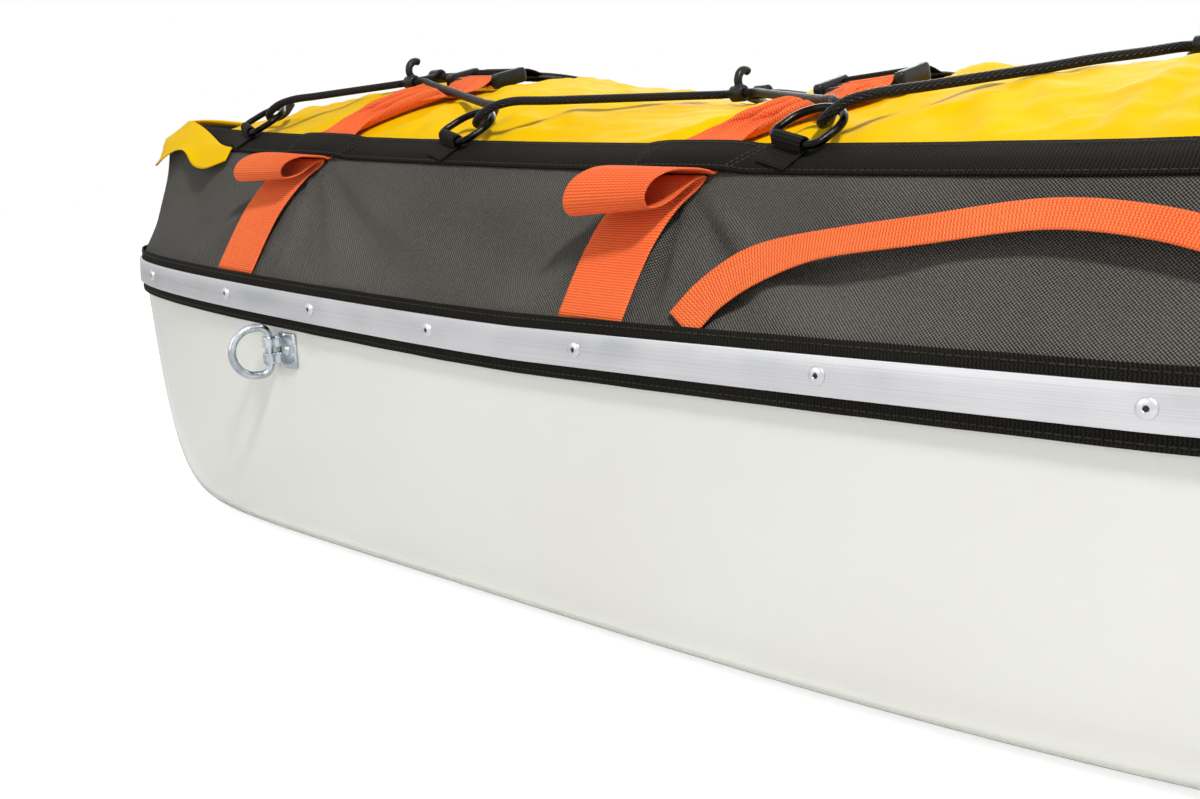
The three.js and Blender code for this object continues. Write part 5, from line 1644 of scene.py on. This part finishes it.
def left_lane(name, lane):
    foot = strap_foot(STRAPS[name][0])
    panel = [strap_on_panel(name, foot * share, STRAP_LIFT, lane) for share in STRAP_SIDE_SHARES]
    side = mirrored(np.vstack([panel, strap_under_webbing(name, lane)]))
    frame = buckle_frame(name)
    bar_y = applied(frame, (lane, 2 * BUCKLE_BAR_PITCH, 0))[1]
    run = crown_run(name, crown_start(name), bar_y, lane, LEFT_CROWN_SHARES, BLACK_PLEATS)
    loop = bar_loop(name, 2, -1, lane)[::-1]
    tail = []
    for share in STRAP_TAIL_SHARES:
        y = 2 * BUCKLE_BAR_PITCH + STRAP_TAIL_LENGTH * share
        tail.append((lane, y, BAR_LOOP_RADIUS - STRAP_TAIL_SAG * share**2))
    return np.vstack([side, run, loop, applied(frame, tail)])


def pressed(lanes, ceiling):
    """Lanes over the cover, pushed down where a cord crosses them."""
    x, y, z = lanes[..., 0], lanes[..., 1], lanes[..., 2]
    low = ceiling.lowered(lanes.reshape(-1, 3), STRAP_THICKNESS).reshape(lanes.shape)[..., 2]
    low = np.maximum(low, np.minimum(z, crown_z(x, y) + STRAP_LIFT))
    over_cover = np.abs(y) < cover_half_width(x) - WEBBING_IN
    return np.stack([x, y, np.where(over_cover, low, z)], axis=-1)


def strap_shape(lane_of, name, ceiling):
    places = STRAP_WIDTH * lane_shares(STRAP_LANES)
    lanes = [smooth_path(lane_of(name, lane), STRAP_STEPS) for lane in places]
    return ribbon(pressed(np.array(lanes), ceiling), STRAP_THICKNESS)


def buckle_shape():
    """Two deep side rails with rounded ends, three bars between them and a lip along the far end."""
    near, far = -BUCKLE_END, 2 * BUCKLE_BAR_PITCH + BUCKLE_END
    centre = np.array([0, (near + far) / 2, 0])
    offset = (BUCKLE_WIDTH - BUCKLE_RAIL) / 2
    side_view = rounded_rectangle(far - near, BUCKLE_RAIL_HEIGHT, BUCKLE_RAIL_CORNER, 6)
    side_view = np.column_stack([np.zeros(len(side_view)), side_view])
    parts = []
    for middle in (-offset, offset):
        rail = [centre + side_view * size + (middle + across * BUCKLE_RAIL, 0, 0)
                for across, size in BUCKLE_RAIL_SHARES]
        parts.append(loft(rail))
    bars = [(place * BUCKLE_BAR_PITCH, 0, BUCKLE_BAR_RADIUS, BAR_SIDES) for place in range(3)]
    bars.append((far - BUCKLE_LIP_INSET, BUCKLE_LIP_HEIGHT, BUCKLE_LIP_RADIUS, LIP_SIDES))
    for y, z, radius, sides in bars:
        parts.append(tube([(x, y, z) for x in np.linspace(-offset, offset, 9)], radius, sides))
    return joined(parts)


def build_straps(ceiling):
    for name in STRAPS:
        right = strap_shape(right_lane, name, ceiling)
        add_piece(f"strap_{name}_orange", right, "orange_webbing", replaces=[f"strap_{name}_right"])
        left = strap_shape(left_lane, name, ceiling)
        piece = add_piece(f"strap_{name}_black", left, "black_webbing", None, [f"strap_{name}_left"])
        frame = buckle_frame(name)
        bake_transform(piece)
        buckle = buckle_shape().moved(frame)
        node = f"buckle_{name}"
        add_piece(f"buckle_{name}_frame", buckle, "black_plastic", node, [node], sharp=50)


# Grab handle


def handle_centres(steps):
    """The handle's middle line, which stands off the skirt most at its middle."""
    arch = resampled(smooth_path([(*shares, 0) for shares in HANDLE_ARCH_SHARES], HANDLE_ARCH_STEPS), steps)
    x = HANDLE_REAR_X + HANDLE_LENGTH * arch[:, 0]
    lift = STRAP_LIFT + HANDLE_STAND_OFF * np.sin(math.pi * arch[:, 0])
    foot = strap_foot(x) - STRAP_TUCK - SEAT_GAP
    return on_starboard(x, *panel_place(x, foot - HANDLE_RISE * arch[:, 1], lift)), arch[:, 0]


def panel_normal(x):
    _, out = starboard_frame(x)
    up_in, up_z, _ = panel_directions(x)
    return np.array([out[0] * up_z, out[1] * up_z, up_in])


def handle_shape():
    """Webbing with its upper half folded down behind the lower one along the grip."""
    centres, shares = handle_centres(HANDLE_STEPS)
    along = unit(np.gradient(centres, axis=0))
    normals = np.array([panel_normal(x) for x in centres[:, 0]])
    across = unit(np.cross(normals, along))
    off = unit(np.cross(along, across))
    folded = smoothstep(np.minimum(shares, 1 - shares), *HANDLE_FOLD_FROM_TO_SHARES)
    line = lerp(HANDLE_WIDTH / 2, HANDLE_FOLD_LINE_SHARE * HANDLE_WIDTH, folded)
    lanes = []
    for share in lane_shares(HANDLE_LANES):
        past = np.maximum(share * HANDLE_WIDTH - line, 0)
        turned = np.minimum(past / HANDLE_FOLD_RADIUS, HANDLE_FOLD_TURN)
        rest = past - HANDLE_FOLD_RADIUS * turned
        up = HANDLE_FOLD_RADIUS * np.sin(turned) + rest * np.cos(turned)
        back = HANDLE_FOLD_RADIUS * (1 - np.cos(turned)) + rest * np.sin(turned)
        up += np.minimum(share * HANDLE_WIDTH, line) + folded * HANDLE_WIDTH / 5
        lanes.append(centres + across * up[:, None] - off * back[:, None])
    return ribbon(lanes, HANDLE_THICKNESS)


def build_handles():
    shape = handle_shape()
    x = HANDLE_REAR_X + HANDLE_LENGTH / 2
    foot = strap_foot(x) - STRAP_TUCK
    start = on_starboard(x, *panel_place(x, foot - HANDLE_BEND_FROM, STRAP_LIFT))
    end = on_starboard(x, *panel_place(x, foot - HANDLE_BEND_TO, STRAP_LIFT))
    for side, made, flip in (("right", shape, 1), ("left", shape.mirrored(), -1)):
        node = f"side_handle_{side}"
        grip = add_piece(f"{node}_grip", made, "orange_webbing", None, [node])
        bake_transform(grip)


# Lacing


def ring_outline(width, depth, corner):
    """A D outline: its straight bar along X through the origin, its bow up along Y."""
    half = width / 2
    arcs = [
        (half - corner, corner, corner, -90, 0, 8),
        (0, depth - half, half, 0, 180, 34),
        (corner - half, corner, corner, 180, 270, 8),
    ]
    points = []
    for x, y, radius, start, stop, steps in arcs:
        turn = np.radians(np.linspace(start, stop, steps + 1))
        points += list(np.column_stack([x + radius * np.cos(turn), y + radius * np.sin(turn)]))
    return points


def tab_frame(x):
    """X along the ring's bar, Y up the webbing's slope, Z off it."""
    seat = SEAT_GAP + WEBBING_THICKNESS + TAB_OFF_WEBBING
    lift = seat + TAB_THICKNESS + RUNNING_GAP + LACE_WIRE_RADIUS
    share = 1 + LACE_BAR_ABOVE_WEBBING / WEBBING_WIDTH
    origin = on_starboard(x, *webbing_place(x, share, lift))
    _, out = starboard_frame(x)
    along = np.array([-out[1], out[0], 0])
    slope = unit((-out[0], -out[1], math.tan(WEBBING_SLOPE)))
    frame = basis(along, slope, np.cross(along, slope), origin)
    return frame @ turned_about("Z", -LACE_RING_SLANT)


def lace_ring_frame(x):
    return tab_frame(x) @ turned_about("X", LACE_RING_TILT - WEBBING_SLOPE)


def tab_shape():
    """Webbing that loops round the ring's bar, with both ends sewn flat to the tape below."""
    middle = LACE_WIRE_RADIUS + RUNNING_GAP + TAB_THICKNESS / 2
    turn = np.radians(np.linspace(-90, 180, 16))
    path = [(y, -middle) for y in np.linspace(-TAB_LENGTH, -TAB_LOOP_LENGTH, 8)]
    path += list(np.column_stack([middle * np.cos(turn), middle * np.sin(turn)]))
    path += scaled(TAB_NIP_SHARES, middle, middle)
    lanes = [[(share * TAB_WIDTH, y, z) for y, z in path] for share in lane_shares(TAB_LANES)]
    return ribbon(lanes, TAB_THICKNESS)


def cord_through_ring(x):
    depth = LACE_RING_DEPTH - 2 * LACE_WIRE_RADIUS
    clear = LACE_WIRE_RADIUS + CORD_RADIUS + RUNNING_GAP
    return applied(lace_ring_frame(x), np.array(CORD_THROUGH_SHARES) * (depth, depth, clear))


def peak_frame(name):
    """X along the cords, Y from the starboard cord to the port one."""
    x, outboard = PEAKS[name]
    lift = CORD_RADIUS + PEAK_LIFT
    starboard = on_crown(x, -outboard, lift)
    across = unit(on_crown(x, PEAK_SPREAD - outboard, lift) - starboard)
    return basis((1, 0, 0), across, np.cross((1, 0, 0), across), starboard)


def cord_at_peak(name, side):
    half = HOOK_LENGTH / 2 + SEAT_GAP
    y = 0 if side < 0 else PEAK_SPREAD
    xs = (-half - PEAK_STRAIGHT, -half, half, half + PEAK_STRAIGHT)
    return applied(peak_frame(name), [(x, y, 0) for x in xs])


def over_strap(point):
    return beside_straps(point[0], point[1]) < 3 * CORD_RADIUS


def clear_of_cover(point):
    room = CORD_RADIUS + CORD_OFF_COVER + (CORD_OVER_STRAP if over_strap(point) else 0)
    lowest = on_crown(point[0], point[1], room)[2]
    return np.array([point[0], point[1], max(point[2], lowest)])


def cord_span(start, end):
    return [clear_of_cover(lerp(start, end, share)) for share in CORD_SPAN_SHARES]


def cord_pieces(side):
    """One side's cord as smooth points, cut in the middle of each hook; a piece for each ring."""
    points, cuts = [], []
    names = list(PEAKS)
    for i, x in enumerate(LACE_RING_XS.values()):
        through = cord_through_ring(x)
        if side > 0:
            through = mirrored(through)
        if i > 0:
            points += cord_span(points[-1], through[0])
        points += list(through)
        if i < len(names):
            peak = cord_at_peak(names[i], side)
            points += cord_span(through[-1], peak[0]) + list(peak)
            cuts.append(len(points) - 3)
    line = smooth_path(points, CORD_STEPS)
    marks = [0] + [cut * CORD_STEPS + CORD_STEPS // 2 for cut in cuts] + [len(line) - 1]
    return [line[first : last + 1] for first, last in zip(marks, marks[1:])]


def hook_sleeve(reach):
    """A short tube round the cord, with its outer edges taken off."""
    half = HOOK_LENGTH / 2
    turn = np.linspace(0, 2 * math.pi, SLEEVE_SIDES, endpoint=False)
    outer = HOOK_SLEEVE_RADIUS
    side = [(half - HOOK_CHAMFER, outer), (half, outer - HOOK_CHAMFER), (half, reach)]
    profile = [(-x, radius) for x, radius in side[::-1]] + side
    return loft([
        np.column_stack([np.full(SLEEVE_SIDES, x), radius * np.cos(turn), radius * np.sin(turn)])
        for x, radius in profile
    ], closed=True)


def hook_tab(reach):
    """A flat tab from the sleeve that ends in a claw over the port cord."""
    middle = reach + HOOK_TAB_THICKNESS / 2
    level = reach - HOOK_TAB_THICKNESS / 2
    flat = np.linspace(HOOK_SLEEVE_RADIUS - HOOK_TAB_OVERLAP, PEAK_SPREAD - HOOK_TAB_CLEAR * middle, 8)
    path = [(y, level) for y in flat]
    claw = np.radians(np.linspace(150, 0, 12))
    path += [(PEAK_SPREAD + middle * math.cos(t), middle * math.sin(t)) for t in claw]
    lanes = [[(share * HOOK_LENGTH, y, z) for y, z in path] for share in lane_shares(STIFF_LANES)]
    return ribbon(lanes, HOOK_TAB_THICKNESS)


def hook_arm(reach):
    foot = reach + HOOK_ARM_RADIUS / 2
    points = [(0, HOOK_CURL * across, foot + HOOK_ARM_HEIGHT * up) for across, up in HOOK_ARM_SHARES]
    line = smooth_path(points, HOOK_ARM_STEPS)
    radii = np.full(len(line), HOOK_ARM_RADIUS)
    radii[: len(HOOK_ROOT_TAPERS)] *= HOOK_ROOT_TAPERS
    radii[-len(HOOK_TIP_TAPERS) :] *= HOOK_TIP_TAPERS
    return tube(line, radii, RING_SIDES)


def hook_shape():
    """A sleeve round the starboard cord, a tab that catches the port one, and a standing arm."""
    reach = CORD_RADIUS + RUNNING_GAP
    return joined([hook_sleeve(reach), hook_tab(reach), hook_arm(reach)])


def build_rings():
    """Rings and their tabs; gives back the rings' middle lines."""
    width, depth = LACE_RING_WIDTH - 2 * LACE_WIRE_RADIUS, LACE_RING_DEPTH - 2 * LACE_WIRE_RADIUS
    ring_line = ring_outline(width, depth, LACE_RING_CORNER)
    flat_ring = wire(ring_line, LACE_WIRE_RADIUS, RING_SIDES)
    lines = []
    for name, x in LACE_RING_XS.items():
        frame = lace_ring_frame(x)
        ring = flat_ring.moved(frame)
        add_pair(f"lace_ring_{name}", ring, "black_steel", body=f"lace_ring_{name}", role="_wire")
        add_pair(f"ring_tab_{name}", tab_shape().moved(tab_frame(x)), "black_webbing", role="_loop")
        line = applied(frame, np.column_stack([ring_line, np.zeros(len(ring_line))]))
        lines += [line, mirrored(line)]
    return lines


def build_cords():
    """A piece of cord for each ring; gives back their middle lines."""
    lines = []
    for side, side_name in ((-1, "right"), (1, "left")):
        for (name, x), line in zip(LACE_RING_XS.items(), cord_pieces(side)):
            cord, node = tube(line, CORD_RADIUS, CORD_SIDES), f"bungee_{side_name}"
            piece = add_piece(f"bungee_{name}_{side_name}", cord, "shock_cord", None, [node])
            ring = applied(lace_ring_frame(x), (0, LACE_RING_DEPTH, 0)) * (1, -side, 1)
            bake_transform(piece)
            lines.append(line)
    return lines


def build_hooks():
    """The cord hooks; gives back the lines under them."""
    lines = []
    drop = CORD_RADIUS - HOOK_SLEEVE_RADIUS
    for name in PEAKS:
        frame, body = peak_frame(name), f"cord_hook_{name}"
        add_piece(f"{body}_arm", hook_shape().moved(frame), "black_plastic", body, [body], sharp=50)
        lines.append(applied(frame, [(x, 0, drop) for x in np.linspace(-0.5, 0.5, 5) * HOOK_LENGTH]))
        lines.append(applied(frame, [(0, y, drop) for y in np.linspace(0, PEAK_SPREAD, 9)]))
    return lines


# Towing rings


def hull_face_y(x, z):
    levels = np.array(HULL_LEVEL_SHARES, float)
    depth = (strip_z(x) - z) / (strip_z(x) - keel_z(x))
    side, stern, bow = (np.interp(depth, levels[:, 0], levels[:, k]) for k in (1, 2, 3))
    return -float(half_width(x, hull_plan(side, stern, bow)))


def clip_frame(x):
    """Origin on the ring's leg, X along the hull to the bow, Y into the hull."""
    z = strip_z(x) - TOW_DROP_BELOW_STRIP

    def on_hull(along_x, up_z):
        return np.array([along_x, hull_face_y(along_x, up_z), up_z])

    along = unit(on_hull(x + CLIP_LENGTH, z) - on_hull(x, z))
    rise = on_hull(x, z + CLIP_HEIGHT / 2) - on_hull(x, z - CLIP_HEIGHT / 2)
    inward = unit(np.cross(rise, along))
    origin = on_hull(x + CLIP_LENGTH / 2, z) - along * CLIP_LENGTH / 2 - inward * TOW_LEG_OFF
    return basis(along, inward, np.cross(along, inward), origin)


def clip_plate(back):
    """The plate that lies on the hull, its front and back edges rounded off; back is its middle along Y."""
    outline_points = rounded_rectangle(CLIP_LENGTH - 2 * CLIP_INSET, CLIP_HEIGHT, CLIP_CORNER)
    front = back - CLIP_THICKNESS / 2
    face = np.array([(x + CLIP_LENGTH / 2 + CLIP_INSET, front, z) for x, z in outline_points])
    centre = face.mean(axis=0)
    inner = centre + (face - centre) * (1 - CLIP_EDGE / CLIP_LENGTH * 2)
    depths = [(inner, 0), (face, CLIP_EDGE), (face, CLIP_THICKNESS - CLIP_EDGE), (inner, CLIP_THICKNESS)]
    return loft([points + (0, depth, 0) for points, depth in depths])


def clip_shape():
    """A plate on the hull and two knuckles rolled round the ring's leg, with a slot between them."""
    middle = TOW_WIRE_RADIUS + RUNNING_GAP + CLIP_THICKNESS / 2
    back = TOW_LEG_OFF - SEAT_GAP - CLIP_THICKNESS / 2
    turn = np.radians(np.linspace(*CLIP_ROLL_FROM_TO, 30))
    path = [(-middle * math.cos(t), -middle * math.sin(t)) for t in turn]
    path += scaled(CLIP_TONGUE_SHARES, middle, back)
    height = (KNUCKLE_HEIGHT - KNUCKLE_SLOT) / 2
    parts = [clip_plate(back)]
    for side in (-1, 1):
        shift = side * (KNUCKLE_SLOT + height) / 2
        lanes = [[(x, y, shift + share * height) for x, y in path] for share in lane_shares(STIFF_LANES)]
        parts.append(ribbon(lanes, CLIP_THICKNESS))
    return joined(parts)


def clip_rivet_shape():
    """A dome rivet on the clip's plate, its head towards -Y."""
    profile = scaled(CLIP_RIVET_SHARES, CLIP_RIVET_RADIUS, CLIP_RIVET_DOME)
    face = TOW_LEG_OFF - SEAT_GAP - CLIP_THICKNESS
    frame = basis((1, 0, 0), (0, 0, 1), (0, -1, 0), (CLIP_RIVET_AT, face, 0))
    return lathed(profile, RIVET_SIDES).moved(frame)


def tow_ring_shape():
    width, depth = TOW_RING_HEIGHT - 2 * TOW_WIRE_RADIUS, TOW_RING_DEPTH - 2 * TOW_WIRE_RADIUS
    flat = wire(ring_outline(width, depth, TOW_RING_CORNER), TOW_WIRE_RADIUS, TOW_RING_SIDES)
    return flat.moved(basis((0, 0, 1), (0, -1, 0), (1, 0, 0), (0, 0, 0)))


def build_towing():
    for name, x in TOW_RING_XS.items():
        frame = clip_frame(x)
        add_pair(f"tow_clip_{name}", clip_shape().moved(frame), "zinc_steel", sharp=45, role="_plate")
        add_pair(f"tow_rivet_{name}", clip_rivet_shape().moved(frame), "zinc_steel", sharp=45, role="_head")
        ring = tow_ring_shape().moved(frame @ turned_about("Z", TOW_SWING_OUT - math.pi / 2))
        add_pair(f"tow_ring_{name}", ring, "zinc_steel", body=f"tow_ring_{name}", role="_wire")


# Stitching


def stitch_row(path, normals, pitch, length):
    """Short rounded threads along a path, each half sunk in what it sews."""
    run = run_lengths(path)
    count = max(int(run[-1] / pitch), 1)
    wanted = (np.arange(count) + 0.5) * run[-1] / count
    centres, ways, offs = (
        np.column_stack([np.interp(wanted, run, column) for column in values.T])
        for values in (path, np.gradient(path, axis=0), normals)
    )
    ways, offs = unit(ways), unit(offs)
    sides = np.cross(ways, offs)
    turn = np.linspace(0, 2 * math.pi, THREAD_SIDES, endpoint=False)
    circle = STITCH_RADIUS * np.column_stack([np.zeros(THREAD_SIDES), np.cos(turn), np.sin(turn)])
    thread = loft([circle * size + (length * at, 0, 0) for at, size in THREAD_SHARES])
    return joined([thread.moved(basis(*frame)) for frame in zip(ways, sides, offs, centres)])


def bar_tack(x):
    """A slanted row of stitches across the top webbing, on both sides of the sled."""
    share = np.linspace(*STITCH_ROW_SHARES, 12)
    along = x + TACK_SLANT * (share - 0.5)
    lift = webbing_lift(along) + WEBBING_THICKNESS + STITCH_OFF
    path = on_starboard(along, *webbing_place(along, share, lift))
    row = stitch_row(path, off_webbing(starboard_frame(along)[1]), TACK_PITCH, TACK_LENGTH)
    return [row, row.mirrored()]


def off_webbing(out):
    """Directions square to the top webbing, from those square to the rim."""
    return np.column_stack([out * math.sin(WEBBING_SLOPE), np.full(len(out), math.cos(WEBBING_SLOPE))])


def rim_row(inset, z, normals):
    """A row of stitches all the way round."""
    closed = np.append(np.arange(len(RIM)), 0)
    path = placed(RIM, RIM_OUT, inset, z)
    return stitch_row(path[closed], normals[closed], STITCH_PITCH, STITCH_LENGTH)


def build_stitching():
    """Rows of thread along the edges of the top webbing and the rim band, and tacks beside the straps."""
    lift = webbing_lift(RIM_X) + WEBBING_THICKNESS + STITCH_OFF
    off = off_webbing(RIM_OUT)
    rows = [rim_row(*webbing_place(RIM_X, share, lift), off) for share in STITCH_ROW_SHARES]
    for _, web_x, _, _ in STRAPS.values():
        for side in (-1, 1):
            for start in TACK_ROWS:
                rows += bar_tack(web_x + side * TACK_BESIDE_STRAP + start)
    add_piece("top_webbing_stitches", joined(rows), "thread")
    height = BAND_HEIGHT / 2 - STITCH_FROM_EDGE
    inset = np.full(len(RIM), -(BAND_OUT + BAND_THICKNESS))
    level = np.column_stack([RIM_OUT, np.zeros(len(RIM))])
    rows = [rim_row(inset, strip_z(RIM_X) + up, level) for up in (height, -height)]
    add_piece("rim_band_stitches", joined(rows), "thread")


# Stage


def build_floor():
    """A white floor: it keeps the shadow, and shows as plain white elsewhere."""
    nodes = Nodes("floor")
    nodes.set(Base_Color=(0.86, 0.86, 0.86, 1), Roughness=0.9)
    seen = nodes.add("ShaderNodeLightPath").outputs["Is Camera Ray"]
    glow = nodes.add("ShaderNodeEmission", {"Strength": nodes.math("MULTIPLY", seen, FLOOR_GLOW)})
    both = nodes.add("ShaderNodeAddShader", {0: nodes.shader.outputs[0], 1: glow.outputs[0]})
    nodes.put(nodes.tree.nodes["Material Output"], "Surface", both.outputs[0])
    corners = [(x * FLOOR_REACH, y * FLOOR_REACH, 0) for x, y in ((-1, -1), (1, -1), (1, 1), (-1, 1))]
    mesh = bpy.data.meshes.new("floor")
    mesh.from_pydata(corners, [], [(0, 1, 2, 3)])
    mesh.materials.append(nodes.material)
    linked("floor", mesh)


def build_world():
    """Plain white where the camera and gloss see it, and dimmer where it lights the object."""
    world = bpy.data.worlds.new("studio")
    world.use_nodes = True
    tree = world.node_tree
    path = tree.nodes.new("ShaderNodeLightPath")
    seen = path.outputs["Is Camera Ray"]
    for ray in ("Is Glossy Ray", "Is Transmission Ray"):
        either = tree.nodes.new("ShaderNodeMath")
        either.operation = "MAXIMUM"
        tree.links.new(seen, either.inputs[0])
        tree.links.new(path.outputs[ray], either.inputs[1])
        seen = either.outputs[0]
    strength = tree.nodes.new("ShaderNodeMapRange")
    strength.inputs["To Min"].default_value = SKY_LEVEL
    tree.links.new(seen, strength.inputs["Value"])
    background = tree.nodes["Background"]
    tree.links.new(strength.outputs["Result"], background.inputs["Strength"])
    background.inputs["Color"].default_value = (1, 1, 1, 1)
    bpy.context.scene.world = world


def build_lamps():
    for name, (place, width, watts) in LAMPS.items():
        data = bpy.data.lights.new(name, "AREA")
        data.shape = "DISK"
        data.size = width
        data.energy = watts
        lamp = linked(name, data)
        lamp.location = place
        lamp.rotation_euler = (Vector(LAMP_AIM) - Vector(place)).to_track_quat("-Z", "Y").to_euler()


def build_camera():
    data = bpy.data.cameras.new("camera")
    data.lens = CAMERA_LENS
    data.sensor_width = CAMERA_SENSOR
    data.clip_start = CAMERA_CLIP
    camera = linked("camera", data)
    camera.location = CAMERA_PLACE
    camera.rotation_euler = (CAMERA_PITCH, 0, CAMERA_HEADING)
    bpy.context.scene.camera = camera
    bpy.context.scene.view_settings.view_transform = "Standard"


def main():
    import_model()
    MATERIALS.update(make_materials())
    build_floor()
    build_world()
    build_lamps()
    build_camera()
    build_hull()
    build_rim()
    build_skirt()
    build_webbing()
    ceiling = Ceiling(np.vstack(build_rings() + build_cords() + build_hooks()), CORD_RADIUS)
    build_straps(ceiling)
    build_cover(ceiling)
    build_flap()
    build_handles()
    build_towing()
    build_stitching()


main()
